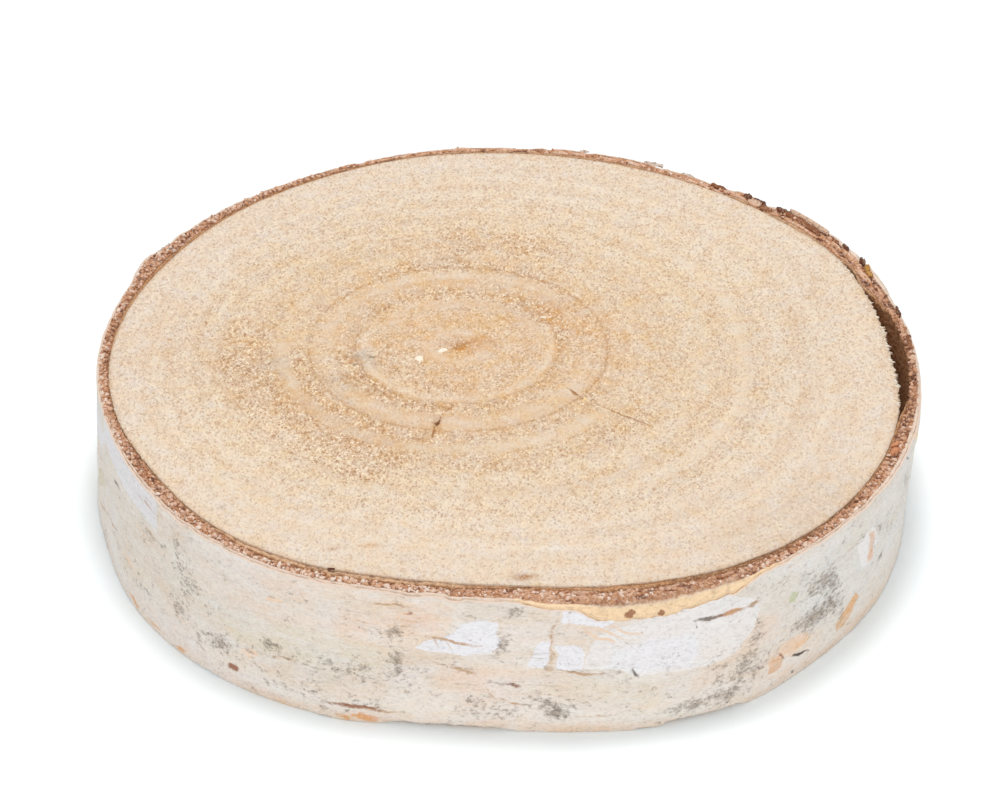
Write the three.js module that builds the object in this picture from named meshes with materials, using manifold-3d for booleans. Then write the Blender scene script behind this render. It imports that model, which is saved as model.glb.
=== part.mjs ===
// A slice sawn across a birch trunk: a disc of wood and the ring of bark round it.
// The bark holds to the wood all the way round, except at the right, where it has dried loose and leans out.
// Millimetres, +Z up. The slice lies on its lower sawn face, with the origin under the middle of its outline.

import * as THREE from "three";
import { mergeVertices } from "three/addons/utils/BufferGeometryUtils.js";
import Module from "manifold-3d";

// Driving dimensions. Angles are in degrees from +X towards +Y.
const THICKNESS = 49.5; // from one sawn face to the other
const OUTLINE_STEP = 15; // degrees between one radius and the next in the three outlines below
const WOOD_TOP = [
  122.0, 122.2, 124.6, 124.0, 124.9, 126.6, 128.3, 129.5, 128.6, 127.9, 126.6, 126.8,
  127.3, 127.0, 125.8, 127.3, 126.0, 121.9, 121.2, 125.3, 129.7, 131.0, 129.3, 126.6,
];
const BARK_TOP = [
  131.1, 131.5, 132.9, 130.4, 129.8, 131.8, 132.3, 132.9, 132.1, 132.4, 133.2, 131.5,
  131.2, 130.8, 131.3, 132.9, 132.9, 129.0, 128.8, 134.6, 136.8, 136.2, 135.4, 133.5,
];
const BARK_BASE = [
  128.5, 129.0, 130.5, 128.5, 128.0, 130.0, 130.5, 131.3, 131.0, 132.0, 134.0, 133.0,
  133.5, 132.5, 134.7, 136.0, 134.5, 130.5, 129.5, 133.0, 136.3, 133.5, 131.8, 129.3,
];
const BARK_BASE_THICKNESS = 5.0; // at the lower face, the same all the way round
const SEAT = 0.4; // between the wood and the bark where the bark still holds

// The loose stretch, and the short one just past it
const LOOSE_STRETCHES = [
  { angle: 3.5, halfAngle: 19, gap: 5.0 },
  { angle: 26, halfAngle: 3.6, gap: 1.7 },
];

// The growth rings are circles round the pith, and take on the trunk's outline further out. The saw tore
// the soft wood between the hard pale rings, so it lies a little lower. Each band is measured along +X.
const PITH = { x: -16.5, y: 7.4 };
const ROUND_TO = 30; // rings smaller than this are circles
const RING_REACH = 138; // the last ring
const TORN_BANDS = [
  { from: 13, to: 19 },
  { from: 31.5, to: 38.5 },
  { from: 48, to: 54 },
  { from: 61, to: 68 },
  { from: 78, to: 87 },
];
const TORN_DEPTH = 0.35;
const TORN_SLOPE = 1.2; // width of the sloping side of a band
const RING_STEP = 5; // degrees between one point of a ring and the next

// Drying checks, which run out from the pith: distance of each end from it, and the width at the face
const CHECKS = [
  { angle: 262.5, from: 37, to: 46, width: 1.3, depth: 7 },
  { angle: 325, from: 40, to: 86, width: 0.7, depth: 2.5 },
];

// Short splinters that the saw left on the wood's upper edge, over the gap
const SPLINTER_LENGTH = 1.6;
const SPLINTER_DEPTH = 2.4;
const SPLINTERED = { from: -16, to: 29, step: 0.75 };
const WOOD_STEP = 2.5; // degrees between the other points of the wood's edge

// The bark's face: broad swells, and patches that stand out or have come away
const BARK_STEP = 2;
const BARK_HEIGHTS = [0, 1.5, 4.5, 9, 14, 19, 24, 29, 34, 39, 43.5];
const SWELL = 0.35;
const PATCHES = [
  { name: "lifted sheet", angle: 10, height: 46, halfAngle: 19, halfHeight: 6, rise: 0.9 },
  { name: "old branch scar", angle: 70, height: 24, halfAngle: 9, halfHeight: 8, rise: 1.0 },
  { name: "peeled strip", angle: 98, height: 13, halfAngle: 8, halfHeight: 4, rise: -0.7 },
  { name: "lenticel", angle: 128, height: 30, halfAngle: 8, halfHeight: 3, rise: 0.8 },
  { name: "blister", angle: 154, height: 45, halfAngle: 5, halfHeight: 9, rise: 1.4 },
  { name: "peeled strip", angle: 205, height: 22, halfAngle: 10, halfHeight: 5, rise: -0.6 },
  { name: "rough patch", angle: 237, height: 16, halfAngle: 8, halfHeight: 8, rise: 0.7 },
  { name: "flake at the base", angle: 248, height: 1, halfAngle: 6, halfHeight: 3.5, rise: 1.2 },
  { name: "peeled strip", angle: 268, height: 31, halfAngle: 14, halfHeight: 5, rise: -0.6 },
  { name: "flake at the base", angle: 288, height: 1, halfAngle: 6, halfHeight: 3, rise: 1.0 },
  { name: "lenticel", angle: 299, height: 38, halfAngle: 7, halfHeight: 2.5, rise: 0.8 },
  { name: "scar", angle: 318, height: 15, halfAngle: 7, halfHeight: 6, rise: 1.0 },
  { name: "lenticel", angle: 338, height: 20, halfAngle: 5, halfHeight: 5, rise: 0.7 },
];

// The bark's sawn rim is uneven. Torn strips stand up at the upper right, and at the front the outer skin
// ends lower than the inner bark.
const RIM_UNEVENNESS = 0.8;
const RIM_LIP = 0.6; // height of the rounded outer edge
const SHOULDER = 0.6; // share of the bark's thickness that is inner bark
const RIM_STRIPS = [
  { angle: 51, halfAngle: 3, rise: 2.0 },
  { angle: 43, halfAngle: 4, rise: 1.3 },
  { angle: 35, halfAngle: 4, rise: 1.5 },
  { angle: 22, halfAngle: 3, rise: 0.8 },
];
const SKIN_DROP = { angle: 290, halfAngle: 22, drop: 3.0 };

const WOOD_COLOUR = "#dcc09a";
const BARK_COLOUR = "#cfc4b8";

const wasm = await Module();
wasm.setup();

const { degToRad, lerp, clamp, smoothstep } = THREE.MathUtils;

function pointAt(radius, angle, height) {
  return [radius * Math.cos(degToRad(angle)), radius * Math.sin(degToRad(angle)), height];
}

// How far one angle is from another, round the circle, in degrees
function angleBetween(a, b) {
  return Math.abs(((((a - b) % 360) + 540) % 360) - 180);
}

// One at the middle of a stretch, falling smoothly to nothing at its ends
function shareOf(stretch, angle) {
  const share = angleBetween(angle, stretch.angle) / stretch.halfAngle;
  return share >= 1 ? 0 : Math.cos((share * Math.PI) / 2);
}

// The radius of an outline at any angle, on a smooth closed curve through its listed radii
function outlineRadius(outline, angle) {
  const place = (((angle % 360) + 360) % 360) / OUTLINE_STEP;
  const i = Math.floor(place);
  const t = place - i;
  const [a, b, c, d] = [-1, 0, 1, 2].map((k) => outline[(i + k + outline.length) % outline.length]);
  return b + 0.5 * t * (c - a + t * (2 * a - 5 * b + 4 * c - d + t * (3 * (b - c) + d - a)));
}

// A fixed scattered number from -1 to 1 for each whole number
function scatter(n) {
  const s = Math.sin(n * 127.1 + 11.7) * 43758.5453;
  return 2 * (s - Math.floor(s)) - 1;
}

function woodRadius(angle, height) {
  const base = outlineRadius(BARK_BASE, angle) - BARK_BASE_THICKNESS;
  return lerp(base, outlineRadius(WOOD_TOP, angle), height / THICKNESS);
}

// The gap between the wood and the bark, which closes towards the lower face
function barkGap(angle, height) {
  const widths = LOOSE_STRETCHES.map((stretch) => stretch.gap * shareOf(stretch, angle));
  return SEAT + Math.max(...widths) * (height / THICKNESS);
}

function barkInnerRadius(angle, height) {
  return woodRadius(angle, height) + barkGap(angle, height);
}

function swellAt(angle, height) {
  const round = Math.sin(degToRad(angle * 5) + height * 0.19);
  return SWELL * round * Math.sin(degToRad(angle * 3) - height * 0.11);
}

function barkOuterRadius(angle, height) {
  const base = outlineRadius(BARK_BASE, angle);
  const smooth = lerp(base, outlineRadius(BARK_TOP, angle), height / THICKNESS);
  const rises = PATCHES.map((patch) => {
    const up = (height - patch.height) / patch.halfHeight;
    return patch.rise * shareOf(patch, angle) * Math.exp(-up * up);
  });
  return smooth + swellAt(angle, height) + rises.reduce((sum, rise) => sum + rise, 0);
}

// The triangles that join two loops of points of the same length, given the number of each one's first point
function bandFaces(low, high, count) {
  return Array.from({ length: count }, (_, i) => {
    const j = (i + 1) % count;
    return [low + i, low + j, high + j, low + i, high + j, high + i];
  }).flat();
}

function geometryFrom(points, faces) {
  const geometry = new THREE.BufferGeometry();
  geometry.setAttribute("position", new THREE.Float32BufferAttribute(points.flat(), 3));
  geometry.setIndex(faces);
  return geometry;
}

// A closed solid whose side runs through the given loops, with a fan of triangles at each end
function discGeometry(loops, firstMiddle, lastMiddle) {
  const count = loops[0].length;
  const last = (loops.length - 1) * count;
  const first = loops.length * count;
  const faces = loops.slice(1).flatMap((_, k) => bandFaces(k * count, (k + 1) * count, count));
  for (let i = 0; i < count; i++) {
    const j = (i + 1) % count;
    faces.push(first, j, i, first + 1, last + i, last + j);
  }
  return geometryFrom([...loops.flat(), firstMiddle, lastMiddle], faces);
}

// A closed ring whose section is the polygon through the given loops
function ringGeometry(loops) {
  const count = loops[0].length;
  const faces = loops.flatMap((_, k) => bandFaces(k * count, ((k + 1) % loops.length) * count, count));
  return geometryFrom(loops.flat(), faces);
}

function solidOf(geometry) {
  const merged = mergeVertices(geometry, 1e-4);
  const mesh = new wasm.Mesh({
    numProp: 3,
    vertProperties: merged.attributes.position.array,
    triVerts: new Uint32Array(merged.index.array),
  });
  return new wasm.Manifold(mesh);
}

function geometryOf(solid) {
  const mesh = solid.getMesh();
  const geometry = new THREE.BufferGeometry();
  geometry.setAttribute("position", new THREE.BufferAttribute(mesh.vertProperties, 3));
  geometry.setIndex(new THREE.BufferAttribute(mesh.triVerts, 1));
  return geometry;
}

// The angles of the wood's edge points: close together where it is splintered, and wider elsewhere
function woodAngles() {
  const { from, to, step } = SPLINTERED;
  const splintered = Array.from({ length: (to - from) / step }, (_, i) => from + i * step);
  const plainCount = Math.round((360 - (to - from)) / WOOD_STEP);
  const plain = Array.from({ length: plainCount }, (_, i) => to + i * WOOD_STEP);
  return [...splintered, ...plain];
}

// Every other point of the splintered edge is a tip, which stays clear of the bark.
function splinterReach(angle, index) {
  const room = 0.6 * (barkGap(angle, THICKNESS) - SEAT);
  const tip = index % 2 === 1 ? 0.7 + 0.3 * scatter(index) : 0;
  return tip * clamp(room, 0, SPLINTER_LENGTH);
}

function plainWood() {
  const angles = woodAngles();
  const loopAt = (height) => angles.map((angle) => pointAt(woodRadius(angle, height), angle, height));
  const upperEdge = angles.map((angle, i) => {
    return pointAt(woodRadius(angle, THICKNESS) + splinterReach(angle, i), angle, THICKNESS);
  });
  const loops = [loopAt(0), loopAt(THICKNESS / 2), loopAt(THICKNESS - SPLINTER_DEPTH), upperEdge];
  return solidOf(discGeometry(loops, [PITH.x, PITH.y, 0], [PITH.x, PITH.y, THICKNESS]));
}

// A growth ring as a loop of points. Its size is its distance from the pith along +X.
function ringLoop(size, height) {
  const shaped = smoothstep(size, ROUND_TO, RING_REACH);
  return Array.from({ length: 360 / RING_STEP }, (_, i) => {
    const [edgeX, edgeY] = pointAt(woodRadius(i * RING_STEP, THICKNESS), i * RING_STEP, 0);
    const [dx, dy] = [edgeX - PITH.x, edgeY - PITH.y];
    const scale = (size / Math.hypot(dx, dy)) * lerp(1, Math.hypot(dx, dy) / RING_REACH, shaped);
    return [PITH.x + dx * scale, PITH.y + dy * scale, height];
  });
}

function tornBand({ from, to }) {
  const above = THICKNESS + TORN_DEPTH;
  const floor = THICKNESS - TORN_DEPTH;
  const loops = [
    ringLoop(to - TORN_SLOPE, floor),
    ringLoop(to + TORN_SLOPE, above),
    ringLoop(from - TORN_SLOPE, above),
    ringLoop(from + TORN_SLOPE, floor),
  ];
  return solidOf(ringGeometry(loops));
}

// A drying check is a slit with pointed ends.
function dryingCheck({ angle, from, to, width, depth }) {
  const middle = (from + to) / 2;
  const plan = new THREE.Shape();
  plan.moveTo(from, 0);
  plan.lineTo(middle, -width / 2);
  plan.lineTo(to, 0);
  plan.lineTo(middle, width / 2);
  plan.closePath();
  const slit = new THREE.ExtrudeGeometry(plan, { depth: 2 * depth, bevelEnabled: false });
  slit.deleteAttribute("normal");
  slit.deleteAttribute("uv");
  slit.rotateZ(degToRad(angle));
  slit.translate(PITH.x, PITH.y, THICKNESS - depth);
  return solidOf(slit);
}

function woodSolid() {
  const cuts = [...TORN_BANDS.map(tornBand), ...CHECKS.map(dryingCheck)];
  return cuts.reduce((wood, cut) => wood.subtract(cut), plainWood());
}

function rimHeight(angle, index) {
  const strips = RIM_STRIPS.map((strip) => strip.rise * shareOf(strip, angle));
  return THICKNESS + Math.max(...strips) - RIM_UNEVENNESS * (0.5 + 0.5 * scatter(index));
}

function skinHeight(angle, index) {
  return rimHeight(angle, index) - RIM_LIP - SKIN_DROP.drop * shareOf(SKIN_DROP, angle);
}

function barkSolid() {
  const angles = Array.from({ length: 360 / BARK_STEP }, (_, i) => i * BARK_STEP);
  const loopOf = (radiusAt, heightAt) =>
    angles.map((angle, i) => {
      const height = heightAt(angle, i);
      return pointAt(radiusAt(angle, Math.min(height, THICKNESS)), angle, height);
    });
  const shoulderRadius = (angle, height) =>
    lerp(barkInnerRadius(angle, height), barkOuterRadius(angle, height), SHOULDER);
  const loops = [
    ...BARK_HEIGHTS.map((height) => loopOf(barkOuterRadius, () => height)),
    loopOf(barkOuterRadius, skinHeight),
    loopOf(shoulderRadius, rimHeight),
    loopOf(barkInnerRadius, (angle, i) => Math.min(rimHeight(angle, i), THICKNESS) - RIM_LIP / 2),
    loopOf(barkInnerRadius, () => THICKNESS / 2),
    loopOf(barkInnerRadius, () => 0),
  ];
  return solidOf(ringGeometry(loops));
}

function piece(name, solid, colour) {
  const material = new THREE.MeshStandardMaterial({ color: colour, roughness: 0.9, metalness: 0 });
  const mesh = new THREE.Mesh(geometryOf(solid), material);
  mesh.name = name;
  return mesh;
}

const slice = new THREE.Group();
slice.add(piece("wood", woodSolid(), WOOD_COLOUR), piece("bark", barkSolid(), BARK_COLOUR));

// The radii are measured from a point near the middle of the outline, so the slice is moved to centre it.
const middle = new THREE.Box3().setFromObject(slice).getCenter(new THREE.Vector3());
slice.position.set(-middle.x, -middle.y, 0);

export default slice;
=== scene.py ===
import math
import random

import bmesh
import bpy
import numpy as np
from mathutils import Matrix, Vector, noise
from mathutils.bvhtree import BVHTree


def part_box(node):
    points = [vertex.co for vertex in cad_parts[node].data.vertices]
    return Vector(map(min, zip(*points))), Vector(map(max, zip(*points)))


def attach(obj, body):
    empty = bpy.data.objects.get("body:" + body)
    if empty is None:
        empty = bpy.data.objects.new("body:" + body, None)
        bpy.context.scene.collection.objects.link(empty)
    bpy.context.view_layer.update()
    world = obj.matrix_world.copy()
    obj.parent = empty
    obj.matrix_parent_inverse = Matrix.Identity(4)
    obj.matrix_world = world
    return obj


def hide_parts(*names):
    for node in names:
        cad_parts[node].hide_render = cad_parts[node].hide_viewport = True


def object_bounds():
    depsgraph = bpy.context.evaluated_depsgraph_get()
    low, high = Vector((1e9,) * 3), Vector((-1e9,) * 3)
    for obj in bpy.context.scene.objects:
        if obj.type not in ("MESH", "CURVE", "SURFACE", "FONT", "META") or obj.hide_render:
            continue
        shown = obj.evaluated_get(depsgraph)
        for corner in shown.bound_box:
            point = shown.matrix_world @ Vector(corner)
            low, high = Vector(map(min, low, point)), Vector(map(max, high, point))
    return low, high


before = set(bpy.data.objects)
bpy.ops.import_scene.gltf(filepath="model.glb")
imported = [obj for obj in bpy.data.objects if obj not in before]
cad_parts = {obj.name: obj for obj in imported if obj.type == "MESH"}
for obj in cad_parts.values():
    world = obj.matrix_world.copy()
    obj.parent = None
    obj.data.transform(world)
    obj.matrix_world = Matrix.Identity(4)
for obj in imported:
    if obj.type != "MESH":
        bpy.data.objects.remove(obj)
cad_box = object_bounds()

# The wood
# A disc of birch, grown round its pith and sawn across the grain with a coarse saw, which tore the soft
# wood between the hard pale rings into a fuzz of fibres. It split in two places as it dried.

MM = 0.001
TURN = 2 * math.pi
MIDDLE = Vector((0, 0, 0))
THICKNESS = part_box("wood")[1].z
PITH = Vector((-15.6, 6.5, 0)) * MM
REACH_STEPS = 120  # places round a solid at which its side is measured
ROUND_TO = 30 * MM  # rings smaller than this are circles round the pith
RING_REACH = 138 * MM  # the last ring, which follows the trunk's outline, measured along +X
SETTLING = 8  # rounds in which a point's ring is worked out
WOOD_CELLS = 300  # across the upper face
WOOD_LEVELS = (0.992, 0.975, 0.94, 0.8, 0.5, 0.0)  # rows of points down its side, as shares of its height
FRINGE_LEVELS = 3  # how many of them the ragged upper edge reaches down
TORN_DEPTH = 0.25 * MM
FUZZ = 0.16 * MM
JOINED = 0.5 * MM  # where the bark lies no further than this from the wood, there is no gap
TOOTH_WIDTH = 1.4 * MM
LONGEST_TOOTH = 1.2 * MM
EDGE_DROP = 0.15 * MM  # how far the saw wore the upper edge down


def solid_of(node):
    return BVHTree.FromObject(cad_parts[node], bpy.context.evaluated_depsgraph_get())


def side_reach(solid, centre, height, outside=False):
    """How far a solid's side lies from a centre, in even steps round it, from inside or outside."""
    reaches = []
    for step in range(REACH_STEPS):
        angle = step / REACH_STEPS * TURN
        out = Vector((math.cos(angle), math.sin(angle), 0))
        start = Vector((centre.x, centre.y, height))
        if outside:
            hit = solid.ray_cast(start + out, -out)[0]
        else:
            hit = solid.ray_cast(start, out)[0]
        reaches.append((hit - start).length)
    return np.array(reaches)


def reach_at(reaches, angles):
    """The reach at any angles, on a smooth closed curve through the measured ones."""
    place_in = (angles / TURN % 1) * REACH_STEPS
    i = np.floor(place_in).astype(int)
    t = place_in - i
    a, b, c, d = (reaches[(i + k) % REACH_STEPS] for k in (-1, 0, 1, 2))
    return b + 0.5 * t * (c - a + t * (2 * a - 5 * b + 4 * c - d + t * (3 * (b - c) + d - a)))


def reach_between(levels, angles, heights):
    """The same between reaches measured at several heights, given as {height: reaches}."""
    known = sorted(levels)
    rows = np.stack([reach_at(levels[height], angles) for height in known])
    place_in = np.interp(heights, known, range(len(known)))
    low = np.minimum(place_in.astype(int), len(known) - 2)
    share = place_in - low
    column = np.arange(len(angles))
    return rows[low, column] * (1 - share) + rows[low + 1, column] * share


def smooth(value, low, high):
    t = np.clip((value - low) / (high - low), 0, 1)
    return t * t * (3 - 2 * t)


def around(angle, low, high, soft=3):
    """One between two angles in degrees, falling to nothing over a few degrees outside them."""
    middle, half = (low + high) / 2, (high - low) / 2
    away = np.abs((np.degrees(angle) - middle + 180) % 360 - 180)
    return 1 - smooth(away, half, half + soft)


def at_radius(angle, radius, height):
    return np.stack([radius * np.cos(angle), radius * np.sin(angle), height + 0 * angle], axis=1)


def noise_at(points, size, seed=0, octaves=1):
    """Noise from about -1 to 1 at each point, with features of the given size."""
    start = Vector((seed * 17.3, seed * 5.9, seed * 11.1))
    if octaves == 1:
        return np.array([noise.noise(Vector(p) / size + start) for p in points])
    return np.array([noise.fractal(Vector(p) / size + start, 0.8, 2.0, octaves) for p in points])


def positions(mesh):
    values = np.empty(len(mesh.vertices) * 3)
    mesh.vertices.foreach_get("co", values)
    return values.reshape(-1, 3)


def place(mesh, points):
    """Moves a mesh's points to their final places, no further out than the CAD model's box."""
    low, high = (np.array(corner) for corner in cad_box)
    mesh.vertices.foreach_set("co", np.clip(points, low, high).ravel())
    mesh.update()


def give(mesh, name, values):
    """Stores a number, or a colour with its strength, at each point for a material to read."""
    kind, field = ("FLOAT", "value") if values.ndim == 1 else ("FLOAT_COLOR", "color")
    mesh.attributes.new(name, kind, "POINT").data.foreach_set(field, values.astype(np.float32).ravel())


def finished(name, bm, body="root"):
    """A smooth-shaded object of the mesh, riding on a body."""
    mesh = bpy.data.meshes.new(name)
    bm.to_mesh(mesh)
    bm.free()
    mesh.shade_smooth()
    piece = bpy.data.objects.new(name, mesh)
    bpy.context.scene.collection.objects.link(piece)
    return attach(piece, body)


wood_solid = solid_of("wood")
bark_solid = solid_of("bark")
SIDE_HEIGHTS = (1 * MM, THICKNESS / 2, THICKNESS - 3 * MM)
wood_reach = {height: side_reach(wood_solid, PITH, height) for height in SIDE_HEIGHTS}
gap_reach = side_reach(bark_solid, PITH, SIDE_HEIGHTS[-1]) - wood_reach[SIDE_HEIGHTS[-1]]


def square_to_disc(x, y):
    """Spreads a square of even cells over a disc of even cells: the share of the way out, and the angle."""
    sideways = np.abs(x) > np.abs(y)
    longer = np.where(sideways, x, y)
    shorter = np.where(sideways, y, x)
    turn = math.pi / 4 * shorter / np.where(longer == 0, 1, longer)
    angle = np.where(sideways, turn, math.pi / 2 - turn)
    return np.abs(longer), np.where(longer < 0, angle + math.pi, angle)


def ring_of(distance, reach):
    """Which growth ring lies at a distance from the pith, where the edge of the wood is at a reach.

    A ring goes by its own distance along +X, in metres.
    """
    ring = distance
    for _ in range(SETTLING):
        ring = distance / (1 + (reach / RING_REACH - 1) * smooth(ring, ROUND_TO, RING_REACH))
    return ring


def wood_blank():
    """An even grid for the upper face, walls drawn down from its edge, and a fan to the pith below."""
    bm = bmesh.new()
    bmesh.ops.create_grid(bm, x_segments=WOOD_CELLS, y_segments=WOOD_CELLS, size=1)
    bmesh.ops.translate(bm, verts=bm.verts, vec=(0, 0, 1))
    edge = [e for e in bm.edges if e.is_boundary]
    for level in WOOD_LEVELS:
        drawn = bmesh.ops.extrude_edge_only(bm, edges=edge)["geom"]
        edge = [e for e in drawn if isinstance(e, bmesh.types.BMEdge)]
        for vert in drawn:
            if isinstance(vert, bmesh.types.BMVert):
                vert.co.z = level
    base = bmesh.ops.edgeloop_fill(bm, edges=edge)["faces"]
    bmesh.ops.poke(bm, faces=base)
    bmesh.ops.recalc_face_normals(bm, faces=bm.faces)
    return bm


BAND_SOFT = 1  # millimetres outwards over which a torn band begins or ends
BAND_FADE = 14  # degrees round the pith over which it does
# The bands that the saw tore, in millimetres from the pith along +X, between two angles round the pith,
# and how badly; below zero is a hard ring that it left smoother than the rest
TORN_BANDS = (
    (7, 11, -180, 180, -0.8),
    (13, 26, -180, -100, 0.35),
    (20, 27, -115, -45, 0.25),
    (29, 32, -180, 20, -0.9),
    (25, 28.5, 10, 150, -0.8),
    (33, 39, -170, -100, 1.0),
    (33, 38, -100, -35, 0.5),
    (29, 38, 10, 60, 0.9),
    (28, 35, 60, 140, 0.6),
    (42, 46, -22, 30, 0.5),
    (40, 48, -140, -20, -0.9),
    (39, 45, 50, 170, -0.8),
    (50, 56, -172, -100, 0.9),
    (50, 54, -100, -30, 0.5),
    (46, 54, 58, 112, 0.6),
    (56, 61, -180, -40, -0.9),
    (62, 84, -185, -112, 0.8),
    (64, 72, -112, -40, 0.5),
    (56, 76, 64, 90, 0.6),
    (78, 81, -30, 20, -0.5),
    (90, 94, -50, 45, -0.9),
    (84, 88, -85, -50, -0.6),
    (104, 138, -130, -20, -0.35),
)


def torn_share(ring, angle, wander):
    """How torn the wood is, from -1 in the smoothest rings to 1, in bands with wandering edges."""
    total = 0 * ring
    for low, high, first, last, strength in TORN_BANDS:
        inside = smooth(ring + wander, (low - BAND_SOFT) * MM, (low + BAND_SOFT) * MM)
        outside = smooth(ring + wander, (high - BAND_SOFT) * MM, (high + BAND_SOFT) * MM)
        total += strength * inside * (1 - outside) * around(angle, first, last, BAND_FADE)
    return np.clip(total, -1, 1)


wood = finished("sawn_wood", wood_blank())
blank = positions(wood.data)
share, angle = square_to_disc(blank[:, 0], blank[:, 1])
height = blank[:, 2] * THICKNESS
reach = reach_between(wood_reach, angle, height)
ring = ring_of(share * reach, reach)
spots = at_radius(angle, share * reach, height)
on_top = blank[:, 2] == 1
on_edge = share > 0.999
fuzz = noise_at(spots, 1.4 * MM, seed=1) + 0.3 * noise_at(spots, 3.5 * MM, seed=2)
patches = noise_at(spots, 9 * MM, seed=4, octaves=3)
torn = torn_share(ring, angle, 1.3 * MM * patches) * (0.75 + 0.45 * patches)

# The ragged edge stands out over the gap in small teeth, most at the top.
gap = np.maximum(reach_at(gap_reach, angle) - JOINED, 0)
tooth = noise_at(spots * [1, 1, 0.3], TOOTH_WIDTH, seed=3) * 1.2 + 0.2
lowest_tooth = WOOD_LEVELS[FRINGE_LEVELS - 1]
down = np.clip((blank[:, 2] - lowest_tooth) / (1 - lowest_tooth), 0, 1)
tooth_reach = np.minimum(0.4 * gap, LONGEST_TOOTH) + 0.3 * MM
fringe = np.where(on_edge, np.clip(tooth, 0, 1) * down * tooth_reach, 0)
spots += at_radius(angle, fringe, 0) + np.array(PITH)
fray = (0.5 + np.maximum(torn, -0.6) * 0.6) * FUZZ * fuzz - np.maximum(torn, 0) * TORN_DEPTH
spots[:, 2] += np.where(on_top, fray, 0) - np.where(on_top & on_edge, EDGE_DROP, 0)


def shade(red, green, blue):
    """A colour as it looks under white light, from 0 to 255, as the renderer's own numbers."""
    parts = [part / 255 for part in (red, green, blue)]
    return tuple(part / 12.92 if part <= 0.04045 else ((part + 0.055) / 1.055) ** 2.4 for part in parts)


def along_and_aside(across, up, middle, tilt):
    """Places measured along a mark that is tilted in degrees round its middle, and aside from it."""
    lean = math.radians(tilt)
    across = across - middle[0]
    up = up - middle[1]
    return across * math.cos(lean) + up * math.sin(lean), up * math.cos(lean) - across * math.sin(lean)


SPLIT_DARK, SPLIT_BROWN, SPLIT_GREY = shade(124, 76, 36), shade(166, 112, 64), shade(150, 132, 112)
CHIP, GOLDEN_CHIP = shade(255, 243, 222), shade(250, 218, 158)
SPLIT_DIP = 1.2  # millimetres from a split over which the face dips towards it
# The splits and the loose chips: middle in millimetres, tilt in degrees, half length and half width, how
# strongly coloured, how deep in millimetres, and the colour
SPLITS = (
    ((-19.9, -32.4), -116, 4.4, 0.34, 0.7, 0.4, SPLIT_BROWN),
    ((-21.3, -36.0), -110, 2.2, 0.80, 0.9, 1.4, SPLIT_DARK),
    ((-22.4, -41.0), -100, 5.0, 0.45, 0.85, 0.6, SPLIT_BROWN),
    ((22.6, -20.8), -50, 6.6, 0.50, 0.8, 0.2, SPLIT_BROWN),
    ((36.0, -31.4), -36, 14.0, 0.42, 0.7, 0.2, SPLIT_BROWN),
    ((-24.2, -17.5), -100, 6.5, 0.34, 0.7, 0.1, SPLIT_BROWN),
    ((-20.0, 4.2), 15, 1.8, 1.1, 1.0, 0.0, CHIP),
    ((-27.6, -0.4), -10, 1.7, 1.5, 1.0, 0.0, CHIP),
    ((25.6, -23.6), -60, 1.8, 0.9, 0.9, 0.0, GOLDEN_CHIP),
    ((13.0, 24.5), 10, 2.2, 1.0, 0.8, 0.0, CHIP),
    ((-48.0, -3.4), 60, 1.1, 0.8, 0.8, 0.2, SPLIT_GREY),
    ((-42.7, 0.6), 20, 1.0, 0.7, 0.8, 0.2, SPLIT_GREY),
    ((-12.0, 9.0), 25, 3.0, 0.7, 0.45, 0.2, SPLIT_BROWN),
    ((-15.8, 6.0), -10, 1.6, 0.8, 0.55, 0.3, SPLIT_BROWN),
)
for middle, tilt, half_length, _, _, depth, _ in SPLITS:
    along, aside = along_and_aside(spots[:, 0] / MM, spots[:, 1] / MM, middle, tilt)
    near = np.clip(1 - (along / half_length) ** 2, 0, 1) * np.clip(1 - np.abs(aside) / SPLIT_DIP, 0, 1)
    spots[:, 2] -= np.where(on_top, near * depth * MM, 0)
place(wood.data, spots)
give(wood.data, "ring", ring / MM)
give(wood.data, "torn", torn)

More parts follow.
